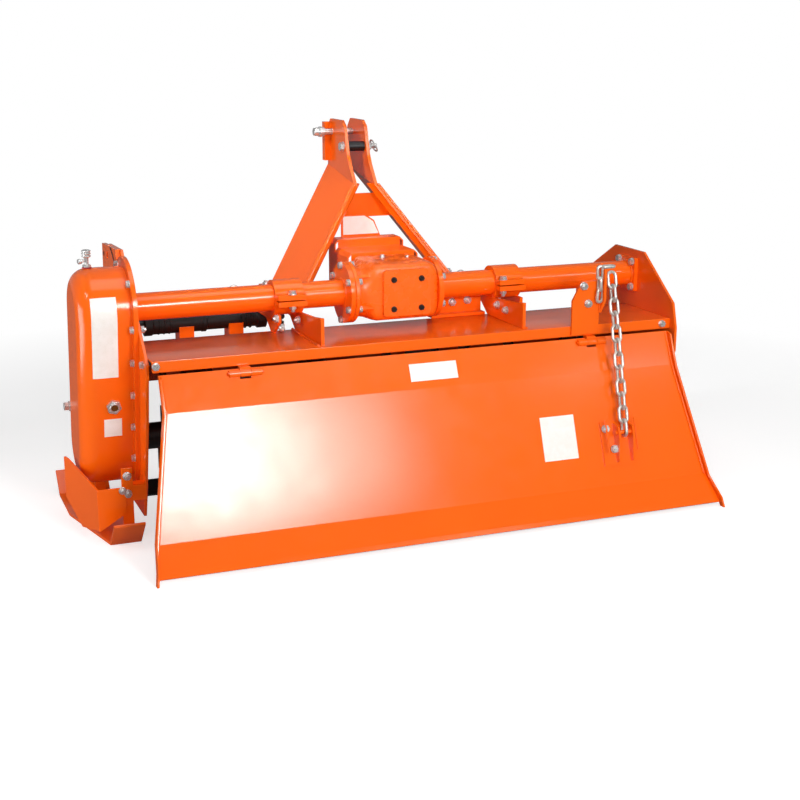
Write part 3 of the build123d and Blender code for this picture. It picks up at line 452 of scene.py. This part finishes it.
boltSizes = {
    # size: across flats, head, washer, stud, all in millimetres
    "m8": (13, 5.5, 17, 8), "m10": (17, 7, 21, 10), "m12": (19, 8, 24, 12), "m16": (24, 10, 30, 16),
}


def bolts(name, size, rows, stud=0.2, body="frame", material=zincPlate):
    # rows: the way the bolts point, then their places
    places = [(place, way) for way, spots in rows for place in spots]
    mesh = bpy.data.meshes.new(name + "Points")
    mesh.from_pydata([at(*place) for place, way in places], [], [])
    aims = mesh.attributes.new("way", "FLOAT_VECTOR", "POINT")
    for aim, (place, way) in zip(aims.data, places):
        aim.vector = way
    flats, head, washer, shank = boltSizes[size]
    grown = grow(boltTree, name, mesh, {
        "Head Width": flats / 1000, "Head Height": head / 1000, "Washer Width": washer / 1000,
        "Stud Height": stud / 1000, "Stud Width": shank / 1000, "Material": material})
    keep(name, grown, material, body, bevelMm=0.7)


# weld beads along the seed's edges: four steps to a ripple, each ripple a little wider in its middle
beadTree, beadIn = startTree("weldBeads", {"Bead Radius": 0.004, "Ripple Pitch": 0.006})
run = addNode(beadTree, "GeometryNodeMeshToCurve", None, {"Mesh": beadIn["Geometry"]})
step = addNode(beadTree, "ShaderNodeMath", {"operation": "MULTIPLY", 1: 0.25}, {0: beadIn["Ripple Pitch"]})
stepped = addNode(beadTree, "GeometryNodeResampleCurve", {"mode": "LENGTH"}, {
    "Curve": run.outputs[0], "Length": step.outputs[0]})
index = addNode(beadTree, "GeometryNodeInputIndex")
phase = addNode(beadTree, "ShaderNodeMath", {"operation": "MULTIPLY", 1: math.pi / 2}, {0: index.outputs[0]})
wave = addNode(beadTree, "ShaderNodeMath", {"operation": "SINE"}, {0: phase.outputs[0]})
width = addNode(beadTree, "ShaderNodeMath", {"operation": "MULTIPLY_ADD", 1: 0.12, 2: 1.0},
                {0: wave.outputs[0]})
edge = addNode(beadTree, "GeometryNodeCurvePrimitiveCircle", {"Resolution": 8},
               {"Radius": beadIn["Bead Radius"]})
tubed = addNode(beadTree, "GeometryNodeCurveToMesh", {"Fill Caps": True}, {
    "Curve": stepped.outputs[0], "Profile Curve": edge.outputs[0], "Scale": width.outputs[0]})
endTree(beadTree, tubed.outputs[0], beadIn["Material"])


def welds(name, runs, body="frame", radius=3.5):
    points, edges = [], []
    for path in runs:
        edges += [(len(points) + i, len(points) + i + 1) for i in range(len(path) - 1)]
        points += [at(*p) for p in path]
    mesh = bpy.data.meshes.new(name + "Runs")
    mesh.from_pydata(points, edges, [])
    grown = grow(beadTree, name, mesh, {"Bead Radius": radius / 1000, "Material": sheetEnamel})
    keep(name, grown, sheetEnamel, body)


print("stage: tools")

# how wide each edge of a carried-over solid is rounded: full on a sheet's long folds, a share on its corners
roundTree, roundIn = startTree("roundByEdge", {
    "Corner Angle": math.radians(fineness["sharpAngle"]), "Fold Angle": math.radians(3), "Fold Length": 0.3,
    "Corner Share": 0.2})
bend = addNode(roundTree, "GeometryNodeInputMeshEdgeAngle").outputs["Unsigned Angle"]
ends = addNode(roundTree, "GeometryNodeInputMeshEdgeVertices").outputs
long = addNode(roundTree, "ShaderNodeVectorMath", {"operation": "DISTANCE"}, {
    0: ends["Position 1"], 1: ends["Position 2"]})
corner = addNode(roundTree, "ShaderNodeMath", {"operation": "GREATER_THAN"}, {
    0: bend, 1: roundIn["Corner Angle"]})
bent = addNode(roundTree, "ShaderNodeMath", {"operation": "GREATER_THAN"}, {
    0: bend, 1: roundIn["Fold Angle"]})
far = addNode(roundTree, "ShaderNodeMath", {"operation": "GREATER_THAN"}, {
    0: long.outputs["Value"], 1: roundIn["Fold Length"]})
both = addNode(roundTree, "ShaderNodeMath", {"operation": "MULTIPLY"}, {
    0: bent.outputs[0], 1: far.outputs[0]})
gentle = addNode(roundTree, "ShaderNodeMath", {"operation": "SUBTRACT"}, {
    0: both.outputs[0], 1: corner.outputs[0]})
slight = addNode(roundTree, "ShaderNodeMath", {"operation": "MULTIPLY"}, {
    0: corner.outputs[0], 1: roundIn["Corner Share"]})
share = addNode(roundTree, "ShaderNodeMath", {"operation": "MAXIMUM"}, {
    0: gentle.outputs[0], 1: slight.outputs[0]})
marked = addNode(roundTree, "GeometryNodeStoreNamedAttribute", {
    "data_type": "FLOAT", "domain": "EDGE", "Name": "bevel_weight_edge"}, {
    "Geometry": roundIn["Geometry"], "Value": share.outputs[0]})
addNode(roundTree, "NodeGroupOutput", None, {"Geometry": marked.outputs[0]})

# smooth shading with crisp folds on the carried-over solids
shadeTree, shadeIn = startTree("shadeByAngle", {"Angle": math.radians(fineness["sharpAngle"])})
bend = addNode(shadeTree, "GeometryNodeInputMeshEdgeAngle").outputs["Unsigned Angle"]
crisp = addNode(shadeTree, "FunctionNodeCompare", {"operation": "GREATER_THAN"}, {
    0: bend, 1: shadeIn["Angle"]})
rounded = addNode(shadeTree, "GeometryNodeSetShadeSmooth", {"domain": "FACE"},
                  {"Geometry": shadeIn["Geometry"]})
folded = addNode(shadeTree, "GeometryNodeSetShadeSmooth", {"domain": "EDGE", "Shade Smooth": False}, {
    "Geometry": rounded.outputs[0], "Selection": crisp.outputs[0]})
addNode(shadeTree, "NodeGroupOutput", None, {"Geometry": folded.outputs[0]})

plainFinish = (sheetEnamel, 1.0)
cadFinish = {
    # node: finish, rounding of its corners in millimetres
    "rotor": (blackEnamel, 0.8), "chain": (zincChain, 0), "lower_pin_left": (zincPlate, 1),
    "lower_pin_right": (zincPlate, 1), "top_pin": (zincPlate, 1), "mast_spacer": (blackEnamel, 1),
    "gearbox_cover": (castEnamel, 1.5), "gear_case": (sheetEnamel, 0), "hood": (sheetEnamel, 3),
}
foldMm = {"tail_board": 5}
mergeMm = 0.02
for name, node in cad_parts.items():
    material, roundMm = cadFinish.get(name, plainFinish)
    node.data.materials.clear()
    node.data.materials.append(material)
    node.modifiers.new("join", "WELD").merge_threshold = mergeMm / 1000
    if name in foldMm:
        node.modifiers.new("folds", "NODES").node_group = roundTree
        soften(node, foldMm[name], "WEIGHT")
    elif roundMm:
        soften(node, roundMm)
    node.modifiers.new("shade", "NODES").node_group = shadeTree
    node.modifiers.new("flatFaces", "WEIGHTED_NORMAL").keep_sharp = True
print("stage: solids finished")


def superLoop(x, yMid, zMid, yHalf, zHalf, power, sides=48):
    # a ring that goes from round (power 2) to nearly square
    loop = []
    for j in range(sides):
        t = 2 * math.pi * j / sides
        c, s = math.cos(t), math.sin(t)
        loop.append((x, yMid + yHalf * math.copysign(abs(c) ** (2 / power), c),
                     zMid + zHalf * math.copysign(abs(s) ** (2 / power), s)))
    return loop


casting = {
    "ribs": (35, 145, 215, 325), "ribThick": 8, "ribX": (-143, -98), "ribReach": (60, 83.5),
    "nose": ((0, 56), (6, 56), (8, 50), (24, 48), (26, 45)), "noseY": 112,
    # along the tube, left to right: x, y and z of the middle, y and z half widths, squareness
    "rings": (
        (-157, 0, 624, 84, 84, 2), (-155, 0, 624, 88, 88, 2), (-145, 0, 624, 88, 88, 2),
        (-142.5, 0, 624, 85, 85, 2), (-141, 0, 624, 74, 74, 2), (-132, 0, 624, 72, 72, 2),
        (-122, 4, 625, 74, 74, 2.2), (-112, 9, 627, 80, 77, 2.8), (-103, 14, 628, 88, 81, 4),
        (-96, 16, 628.5, 92, 83, 6), (-86, 16, 628.5, 95.5, 84, 8), (66, 16, 628.5, 96, 83.5, 8),
        (84, 16, 626, 95, 81, 7), (94, 16, 624, 92, 77, 6), (100, 16, 623, 86, 70, 4.5)),
}
shape = Shape()
shape.rings([superLoop(*row) for row in casting["rings"]])
shape.turned(casting["nose"], (0, casting["noseY"], machine["tubeZ"]), forward)
for angle in casting["ribs"]:
    c, s = math.cos(math.radians(angle)), math.sin(math.radians(angle))
    out, side = Vector((0, c, s)), Vector((0, -s, c)) * casting["ribThick"] / 2
    near, far = (Vector((x, 0, machine["tubeZ"])) - side for x in casting["ribX"])
    low, high = casting["ribReach"]
    shape.plate([near + out * low, near + out * high, far + out * high, far + out * low],
                casting["ribThick"])
keep("gearboxCasting", shape.mesh("gearboxCasting"), castEnamel, bevelMm=2, instead=("gearbox",))

gearboxBolts = {
    "count": 6, "ring": 79, "phase": 30, "flanges": ((rightward, -143), (leftward, -171), (rightward, 114)),
    "coverX": (-44, 41), "coverY": -90, "coverZ": (582, 667), "nose": (-37, 37), "noseY": 118,
}
tubeAxis = (0, 0, machine["tubeZ"])
ringSpots = circle(tubeAxis, forward, upward, gearboxBolts["ring"], gearboxBolts["count"],
                   gearboxBolts["phase"])
bolts("gearboxFlangeBolts", "m10", [
    (way, [(x, p.y, p.z) for p in ringSpots]) for way, x in gearboxBolts["flanges"]])
bolts("coverBolts", "m8", [
    (rearward, [(x, gearboxBolts["coverY"], z)
                for x in gearboxBolts["coverX"] for z in gearboxBolts["coverZ"]])], material=blackBoltAndShade)
bolts("noseBolts", "m8", [
    (forward, [(x, gearboxBolts["noseY"], machine["tubeZ"] + z)
               for x in gearboxBolts["nose"] for z in gearboxBolts["nose"]])])
gearboxPlugs = {
    # plug: place, then height and radius up its side
    "filler": ((-30, 40, 711), ((0, 8), (3, 8), (3.5, 6.5), (9, 6.5), (10, 5.5))),
    "vent": ((40, 20, 709), ((0, 7), (2, 7), (3, 5), (8, 5))),
}
shape = Shape()
for place, profile in gearboxPlugs.values():
    shape.turned(profile, place, upward, sides=6)
keep("gearboxPlugs", shape.mesh("gearboxPlugs"), zincPlate, bevelMm=0.6)

# six-spline power take-off shaft
spline = {
    "teeth": 6, "crest": 17.45, "root": 14.9, "crestShare": 0.5, "flank": 0.06, "start": 148, "runOut": 4,
    "end": 259, "chamfer": 3, "groove": (232, 240), "grooveDeep": 0.6, "grooveEdge": 1,
    "boss": ((0, 22), (34, 22), (35, 21), (40, 17.6)), "bossY": 109,
}


def splineLoop(y, crest, root):
    reach = math.pi / spline["teeth"] * spline["crestShare"]
    loop = []
    for tooth in range(spline["teeth"]):
        middle = 2 * math.pi * tooth / spline["teeth"]
        for turn, radius in ((-reach - spline["flank"], root), (-reach, crest), (0, crest), (reach, crest),
                             (reach + spline["flank"], root), (math.pi / spline["teeth"], root)):
            t = middle + turn
            loop.append((radius * math.cos(t), y, machine["tubeZ"] + radius * math.sin(t)))
    return loop


crest, root = spline["crest"], spline["root"]
grooveR = root - spline["grooveDeep"]
grooveStart, grooveEnd = spline["groove"]
shape = Shape()
shape.rings([splineLoop(*row) for row in (
    (spline["start"], crest, crest), (spline["start"] + spline["runOut"], crest, root),
    (grooveStart, crest, root), (grooveStart + spline["grooveEdge"], grooveR, grooveR),
    (grooveEnd, grooveR, grooveR), (grooveEnd + spline["grooveEdge"], crest, root),
    (spline["end"], crest, root), (spline["end"] + spline["chamfer"], root, root - 1))])
shape.turned(spline["boss"], (0, spline["bossY"], machine["tubeZ"]), forward, sides=36)
keep("splinedShaft", shape.mesh("splinedShaft"), turnedSteel, "input_shaft", bevelMm=0.3,
     instead=("input_shaft",))
print("stage: gearbox")

# stowed driveline: stepped guard tube, bells and two cross joints
drive = {
    "y": 250, "z": 520, "left": -700, "right": -330,
    "guard": ((0, 24), (0.5, 33), (22, 33), (26, 30), (170, 30), (172, 32), (184, 32), (186, 27.5),
              (338, 27.5), (342, 33), (368, 33), (370, 24)),
    "beads": (40, 56, 72, 286, 302, 318), "bead": ((0, 29), (1, 31.5), (4, 31.5), (5, 29)),
    "socket": ((0, 15), (1, 17), (18, 17), (22, 19)), "cap": ((18, 8), (18.5, 9), (24, 9), (25, 7.5)),
    "earThick": 7, "earR": 13, "earFrom": 16, "earZ": 19, "crossAt": 46, "crossR": 7, "crossReach": 24,
}
shape = Shape()
shape.turned(drive["guard"], (drive["left"], drive["y"], drive["z"]), rightward, sides=48)
for spot in drive["beads"]:
    shape.turned(drive["bead"], (drive["left"] + spot, drive["y"], drive["z"]), rightward, sides=48)
keep("drivelineGuard", shape.mesh("drivelineGuard"), guardPlastic, bevelMm=0.6, instead=("driveline",))
for side, sign in (("left", -1), ("right", 1)):
    start = drive[side]
    shape = Shape()
    shape.turned(drive["socket"], (start, drive["y"], drive["z"]), (sign, 0, 0), sides=32)
    cross = Vector((start + sign * drive["crossAt"], drive["y"], drive["z"]))
    for lift in (-1, 1):
        z = drive["z"] + lift * drive["earZ"]
        root = start + sign * drive["earFrom"]
        ear = [(root, drive["y"] - drive["earR"], z), (root, drive["y"] + drive["earR"], z)]
        ear += arc((cross.x, cross.y, z), (sign, 0, 0), forward, drive["earR"], 90, -180, 9)
        shape.plate(ear if sign * lift < 0 else ear[::-1], drive["earThick"])
    arm = [(reach, drive["crossR"]) for reach in (-drive["crossReach"], drive["crossReach"])]
    for way in (upward, forward):
        shape.turned(arm, cross, way, sides=24)
    for way in (rearward, forward):
        shape.turned(drive["cap"], cross, way, sides=24)
    keep(f"crossJoint_{side}", shape.mesh(f"crossJoint_{side}"), blackEnamel, bevelMm=0.7,
         instead=(f"driveline_yoke_{side}",))
print("stage: driveline")

# breather on the gear case: sealing washer, hexagon, finned cap on its stem, and a side spout
breather = {
    "x": -893, "z": 738.5, "washer": ((0, 13), (3.5, 13)),
    "hexagon": ((0, 11.5), (6, 11.5), (7, 10)), "hexagonUp": 3.5,
    "cap": ((0, 5.5), (18, 5.5), (20, 7), (22, 11), (23, 12.5), (25, 12.5), (26, 10.5), (29, 10.5),
            (30, 12.5), (32, 12.5), (33, 10.5), (36, 10.5), (37, 12.5), (39, 12.5), (41, 10), (42, 5)),
    "capUp": 9, "spout": ((8, 4), (14, 4), (15, 7), (24, 7), (25, 6)), "spoutUp": 22,
    "spoutWay": (-1, -0.25, -0.1),
}


def onBreather(rise):
    return breather["x"], 0, breather["z"] + rise


shape = Shape()
shape.turned(breather["washer"], onBreather(0), upward, sides=32)
keep("breatherWasher", shape.mesh("breatherWasher"), redFibre, bevelMm=0.5)
shape = Shape()
shape.turned(breather["hexagon"], onBreather(breather["hexagonUp"]), upward, sides=6)
shape.turned(breather["cap"], onBreather(breather["capUp"]), upward, sides=36)
shape.turned(breather["spout"], onBreather(breather["spoutUp"]), breather["spoutWay"], sides=20)
keep("breatherCap", shape.mesh("breatherCap"), zincPlate, bevelMm=0.4, instead=("breather",))

# the gear case runs down from the tube's axis to the rotor's
caseDown = Vector((0, machine["rotorY"], machine["rotorZ"] - machine["tubeZ"]))
caseLong = caseDown.length
caseDown.normalize()
caseRear = Vector((0, caseDown.z, -caseDown.y))
gearCase = {"wall": 115, "flangeRing": 127.5, "flangeX": -800, "outerX": -942, "cornerR": 50}


def onCase(x, down, out):
    return Vector((x, 0, machine["tubeZ"])) + caseDown * down + caseRear * out


# outlines of turned parts: height, then the radius as a share of the part's own
sightGlass = {
    "place": (-853, 239), "radius": 21,
    "hexagon": ((-2, 1), (8, 1), (10, 0.9), (10, 0.62), (7, 0.58)),
    "collar": ((6, 0.68), (12, 0.68), (14, 0.6), (14, 0.48), (11, 0.45)),
    "window": ((9, 0.5), (11.5, 0.45), (12.5, 0.27), (13, 0.05)),
}
plug = {
    "y": 122, "z": 331, "radius": 15, "hexagon": ((-3, 1.1), (4, 1.1), (4.5, 0.85), (17, 0.85), (18, 0.75)),
}


def sized(piece, outline):
    return [(height, piece["radius"] * share) for height, share in piece[outline]]


middle = onCase(*sightGlass["place"], gearCase["wall"])
shape = Shape()
shape.turned(sized(sightGlass, "hexagon"), middle, caseRear, sides=6)
shape.turned(sized(sightGlass, "collar"), middle, caseRear, sides=32)
keep("sightGlassRing", shape.mesh("sightGlassRing"), zincPlate, bevelMm=0.5, instead=("level_plug",))
shape = Shape()
shape.turned(sized(sightGlass, "window"), middle, caseRear, sides=32)
keep("sightGlassWindow", shape.mesh("sightGlassWindow"), oilWindow)
shape = Shape()
shape.turned(sized(plug, "hexagon"), (gearCase["outerX"], plug["y"], plug["z"]), leftward, sides=6)
keep("fillerPlug", shape.mesh("fillerPlug"), zincPlate, bevelMm=0.5)

# bolts round the case's flange: straight runs by their share of its length, end arcs by their angle
caseBolts = {"shares": (0.04, 0.28, 0.52, 0.76, 1.0), "foot": (50, 90, 130), "head": (50, 130), "nutX": 20}
straightSpots = [onCase(gearCase["flangeX"], caseLong * share, side * gearCase["flangeRing"])
                 for share in caseBolts["shares"] for side in (1, -1)]
roundSpots = []
for turn in caseBolts["foot"]:
    c, s = (gearCase["flangeRing"] * f(math.radians(turn)) for f in (math.cos, math.sin))
    roundSpots.append(onCase(gearCase["flangeX"], caseLong + s, c))
    if turn in caseBolts["head"]:
        roundSpots.append(onCase(gearCase["flangeX"], -s, c))
nutSpots = [p + Vector((caseBolts["nutX"], 0, 0)) for p in straightSpots[::2]]
bolts("caseFlangeBolts", "m10", [(leftward, straightSpots + roundSpots)])
bolts("caseFlangeNuts", "m10", [(rightward, nutSpots)], stud=5)

# thin white skins, each on its surface: blank stickers, and on the case's rear wall the larger patch, which
# is a painted reflection
labelsAndReflection = {
    "thick": 0.6, "sunk": 0.4, "across": 6, "along": 14,
    # left and right edge, then from and to, down the case from the tube's axis
    # the larger case patch is a painted reflection on the rear wall, not a sticker
    "case": (-907, -839, -73, 153), "caseSmall": (-880, -832, 276, 328),
    # left and right edge, foot and top
    "board": (303, 411, 168, 287), "boardUpper": (-71, 71, 416, 461),
    # corners on the guard plate above the gearbox
    "guard": ((-66, 282, 748), (50, 282, 748), (32, 282, 786), (4, 282, 804), (-66, 282, 804)),
}
# y and z down the board's face
boardFace = {"foot": (-413, 83), "fold": (-299, 396), "top": (-256, 489)}


def caseSkin(x, down, lift):
    # the case's rear wall, bent over its round head and round its outer corner
    past = max(0, gearCase["outerX"] + gearCase["cornerR"] - x)
    out = gearCase["wall"] - gearCase["cornerR"] + math.sqrt(gearCase["cornerR"] ** 2 - past ** 2) + lift
    if down >= 0:
        return onCase(x, down, out)
    turn = -down / gearCase["wall"]
    return onCase(x, -out * math.sin(turn), out * math.cos(turn))


def caseWhiteSkin(shape, xFrom, xTo, top, foot):
    xs = [xFrom + (xTo - xFrom) * i / labelsAndReflection["across"] for i in range(labelsAndReflection["across"] + 1)]
    loops = []
    for i in range(labelsAndReflection["along"] + 1):
        down = top + (foot - top) * i / labelsAndReflection["along"]
        loops.append([caseSkin(x, down, labelsAndReflection["thick"]) for x in xs]
                     + [caseSkin(x, down, -labelsAndReflection["sunk"]) for x in reversed(xs)])
    shape.rings(loops)


def boardSticker(shape, xFrom, xTo, foot, top, low, high):
    slope = (high[0] - low[0]) / (high[1] - low[1])
    corners = ((xFrom, foot), (xTo, foot), (xTo, top), (xFrom, top))
    shape.plate([(x, low[0] + (z - low[1]) * slope, z) for x, z in corners], labelsAndReflection["thick"])


shape = Shape()
# painted reflection: a white patch on the case's rear wall, bent over its round head and outer corner
caseWhiteSkin(shape, *labelsAndReflection["case"])
caseWhiteSkin(shape, *labelsAndReflection["caseSmall"])
shape.plate(labelsAndReflection["guard"], labelsAndReflection["thick"])
keep("caseLabels", shape.mesh("caseLabels"), whiteVinylAndReflection)
shape = Shape()
boardSticker(shape, *labelsAndReflection["board"], boardFace["foot"], boardFace["fold"])
boardSticker(shape, *labelsAndReflection["boardUpper"], boardFace["fold"], boardFace["top"])
keep("boardLabels", shape.mesh("boardLabels"), whiteVinylAndReflection, "tail_board")
print("stage: gear case")

# clamps: bolts down through each pair of lugs, the front pair doubled
clamp = {"x": 341, "y": 59, "spread": 22, "rearShift": {-1: 4, 1: -24}, "topZ": 640, "footZ": 608}
clampSpots = []
for side in (-1, 1):
    clampSpots += [(side * clamp["x"] + s * clamp["spread"], clamp["y"]) for s in (-1, 1)]
    clampSpots.append((side * clamp["x"] + clamp["rearShift"][side], -clamp["y"]))
tubeFlange = {"left": 768, "right": 788, "y": (-38, 38), "z": (-38, 40)}
flangeSpots = [(y, machine["tubeZ"] + z) for y in tubeFlange["y"] for z in tubeFlange["z"]]
hub = {"x": 800, "ring": 60, "bolts": 6, "phase": 30}
hubSpots = circle((hub["x"], machine["rotorY"], machine["rotorZ"]), forward, upward, hub["ring"],
                  hub["bolts"], hub["phase"])
mastBolt = {"x": 38, "y": 352, "z": 1010}
boltRows = {
    # name: size, the stud's end in millimetres, rows of the way they point and their places
    "clampBolts": ("m12", 0.2, [(upward, [(x, y, clamp["topZ"]) for x, y in clampSpots])]),
    "clampNuts": ("m12", 8, [(downward, [(x, y, clamp["footZ"]) for x, y in clampSpots])]),
    "hitchPlateBolts": ("m12", 5, [
        (leftward, [(-382, -60, 574), (-382, -120, 560), (-320, -62, 566)]),
        (rearward, [(148, 46, 562), (197, 46, 562), (247, 46, 565)]),
        (leftward, [(300, -62, 566), (300, -120, 560)])]),
    "tubeFlangeBolts": ("m12", 0.2, [(leftward, [(tubeFlange["left"], y, z) for y, z in flangeSpots])]),
    "tubeFlangeNuts": ("m12", 7, [(rightward, [(tubeFlange["right"], y, z) for y, z in flangeSpots])]),
    "hoodCornerBolts": ("m10", 0.2, [(rearward, [(751, -247, 510), (-770, -247, 511)])]),
    "sidePlateBolts": ("m10", 0.2, [
        (rightward, [(788, y, z) for y, z in ((-190, 500), (-60, 500), (120, 470), (250, 420))]),
        (leftward, [(-788, y, z) for y, z in ((-170, 500), (250, 420))])]),
    "footBolts": ("m12", 6, [(upward, [(x, y, 600) for x in (-305, 305) for y in (150, 320)])]),
    "chainBracketBolts": ("m12", 4, [(rearward, [(479, -255, 642), (495, -255, 590)])]),
    "guardBolts": ("m10", 4, [(rearward, [(-855, -146, 152)])]),
    "skidBarBolts": ("m12", 4, [
        (way, [(x, y, z) for x in (-840, 840) for z in (190, 140)])
        for way, y in ((rearward, -140), (forward, 318))]),
    "hubBolts": ("m10", 0.2, [(rightward, hubSpots)]),
    "shieldBolts": ("m8", 0.2, [(forward, [(x, 116, 700) for x in (-60, 60)])]),
    "mastBolts": ("m16", 0.2, [(leftward, [(-mastBolt["x"], mastBolt["y"], mastBolt["z"])])]),
    "mastNut": ("m16", 20, [(rightward, [(mastBolt["x"], mastBolt["y"], mastBolt["z"])])]),
}
for name, (size, stud, rows) in boltRows.items():
    bolts(name, size, rows, stud=stud)
# on the board's bracket, square to the leaning face
bracketBolts = {"way": (0, -0.94, 0.342), "places": [(502, -368, 241), (524, -388, 184)]}
bolts("bracketBolts", "m12", [(bracketBolts["way"], bracketBolts["places"])],
      stud=3, body="tail_board")
print("stage: bolts")

# lynch pins with their spring rings, the top pin's head and cotter, the mast bolt's clip
pins = {
    "x": 384, "y": 400, "z": 558, "pin": ((-16, 4), (20, 4), (24, 6), (28, 6)), "ringR": 17, "ringY": 3,
    "topX": 57, "topY": 455, "topZ": 1049, "cotter": ((-14, 3.5), (16, 3.5)), "cotterRingR": 15,
    "ringDrop": 13,
    "headX": -72, "head": ((0, 14), (2, 16), (10, 16), (12, 13), (26, 12.5), (28, 10.5)),
    "headWay": (-1, 0, 0.03), "clipX": 62, "clipR": 19, "clipLean": (0.45, 0, -0.9),
    "wireR": 1.9, "clipWireShare": 1.3,
}
shape = Shape()
for side in (-1, 1):
    x = side * pins["x"]
    shape.turned(pins["pin"], (x, pins["y"], pins["z"]), upward, sides=16)
    shape.hoop(circle((x, pins["y"] + pins["ringY"], pins["z"] + pins["ringR"]), rightward, upward,
                      pins["ringR"], steps=28), pins["wireR"], sides=8)
shape.turned(pins["cotter"], (pins["topX"], pins["topY"], pins["topZ"]), upward, sides=16)
shape.hoop(circle((pins["topX"], pins["topY"], pins["topZ"] - pins["ringDrop"]), forward, upward,
                  pins["cotterRingR"], steps=28), pins["wireR"], sides=8)
shape.turned(pins["head"], (pins["headX"], pins["topY"], pins["topZ"]), pins["headWay"], sides=28)
shape.hoop(circle((pins["clipX"], mastBolt["y"], mastBolt["z"]), pins["clipLean"], forward,
                  pins["clipR"], steps=28), pins["wireR"] * pins["clipWireShare"], sides=8)
keep("lynchPins", shape.mesh("lynchPins"), zincPlate, bevelMm=0.3)

# the chain's loose end, laid over the bracket's wing
looseEnd = {"wireR": 4.5, "halfWide": 8, "halfLong": 11, "links": (
    # middle, the way it runs, the way it lies wide
    ((549, -268, 697), (1, 0, 0), (0, 1, 0)), ((524, -268, 680), (0, 0, 1), (1, 0, 0)),
    ((524, -268, 647), (0, 0, 1), (0, 1, 0)), ((526, -268, 614), (0.08, 0, 1), (1, 0, 0.1)))}
shape = Shape()
for middle, along, across in looseEnd["links"]:
    middle, along, across = Vector(middle), Vector(along), Vector(across)
    path = []
    for end in (1, -1):
        path += arc(middle + along * end * looseEnd["halfLong"], across * end, along * end,
                    looseEnd["halfWide"], 0, 180, 10)
    shape.hoop(path, looseEnd["wireR"])
keep("chainLooseEnd", shape.mesh("chainLooseEnd"), zincChain)

# rubber buffer on the left lug; section: y and z of the middle, half widths, squareness
buffer = {"xs": (-829, -827, -795, -793), "section": (-108, 139, 10, 21, 5)}
shape = Shape()
shape.rings([superLoop(x, *buffer["section"], sides=24) for x in buffer["xs"]])
keep("buffer", shape.mesh("buffer"), rubber, bevelMm=2)

# painted shade: a thin dark sheet in the curved slot and in the hole of the case's lifting tab, where their
# inside lies in shade
tab = {"middle": (-800.3, 205, 640), "inner": 130, "outer": 139, "from": 28, "sweep": 44,
       "hole": (-800.3, 268, 735), "holeR": 7, "thick": 0.5}
shape = Shape()
slot = arc(tab["middle"], rearward, upward, tab["inner"], tab["from"], tab["sweep"], 8)
slot += arc(tab["middle"], rearward, upward, tab["outer"], tab["from"] + tab["sweep"], -tab["sweep"], 8)
shape.plate(slot, tab["thick"])
shape.turned([(0, tab["holeR"]), (tab["thick"], tab["holeR"])], tab["hole"], leftward, sides=24)
keep("tabSlots", shape.mesh("tabSlots"), blackBoltAndShade)

# two bolts through the flange at each tine; every other tine faces the other way
rotorSpec = {"discs": 7, "pitch": 220, "tines": 6, "stagger": 25.7, "boltRing": 78, "boltApart": 15,
             "headX": 12, "nutX": 4}
headRows, nutRows = {1: [], -1: []}, {1: [], -1: []}
for i in range(rotorSpec["discs"]):
    x = rotorSpec["pitch"] * (i - (rotorSpec["discs"] - 1) / 2)
    middle = Vector((x, machine["rotorY"], machine["rotorZ"]))
    for j in range(rotorSpec["tines"]):
        turn = math.radians(360 * j / rotorSpec["tines"] + rotorSpec["stagger"] * i)
        side = 1 if j % 2 == 0 else -1
        out = Vector((0, math.cos(turn), math.sin(turn)))
        wide = Vector((0, -math.sin(turn), math.cos(turn)))
        for shift in (-rotorSpec["boltApart"], rotorSpec["boltApart"]):
            place = middle + out * rotorSpec["boltRing"] + wide * shift
            headRows[side].append(place + Vector((side * rotorSpec["headX"], 0, 0)))
            nutRows[side].append(place - Vector((side * rotorSpec["nutX"], 0, 0)))
bolts("tineBolts", "m12", [((side, 0, 0), rows) for side, rows in headRows.items()], body="rotor")
bolts("tineNuts", "m12", [((-side, 0, 0), rows) for side, rows in nutRows.items()],
      stud=5, body="rotor")
print("stage: rotor bolts")

weldRuns = {
    "tubeJoints": (768, 100, -171, -776), "tubeRing": machine["tubeR"] + 2,
    # the same on both sides: mast leg, its foot, two under the clamp, the skid bar's lug
    "paired": (
        ((38, 250, 902), (256, 120, 593)), ((257, 122, 601), (286, 344, 601)),
        ((clamp["x"] - 25, 18, 524.5), (clamp["x"] - 25, -220, 524.5)),
        ((clamp["x"] + 37, 18, 524.5), (clamp["x"] + 37, -12, 524.5)),
        ((791, -136, 119), (791, -136, 161))),
    # the brace's foot, the chain's bracket
    "single": (((118, 44, 525), (292, 44, 525)), ((532, -256, 562), (532, -256, 654))),
    # down the board's end ribs, then beside its bracket
    "boardRib": ((759, -258, 486), (759, -301, 396), (817, -415, 83)),
    "boardBracket": (((500, -370, 268), (500, -402, 180)), ((595, -370, 268), (595, -402, 180))),
}


def mirrored(run, side):
    return [(side * x, y, z) for x, y, z in run]


runs = [arc((x, 0, machine["tubeZ"]), forward, upward, weldRuns["tubeRing"])
        for x in weldRuns["tubeJoints"]]
runs += [mirrored(run, side) for side in (-1, 1) for run in weldRuns["paired"]]
runs += weldRuns["single"]
welds("frameWelds", runs)
boardRuns = [mirrored(weldRuns["boardRib"], side) for side in (-1, 1)]
welds("boardWelds", boardRuns + list(weldRuns["boardBracket"]), body="tail_board", radius=3)
print("stage: welds")

size = {"cad": [list(corner) for corner in cadBox], "visual": [list(corner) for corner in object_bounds()]}
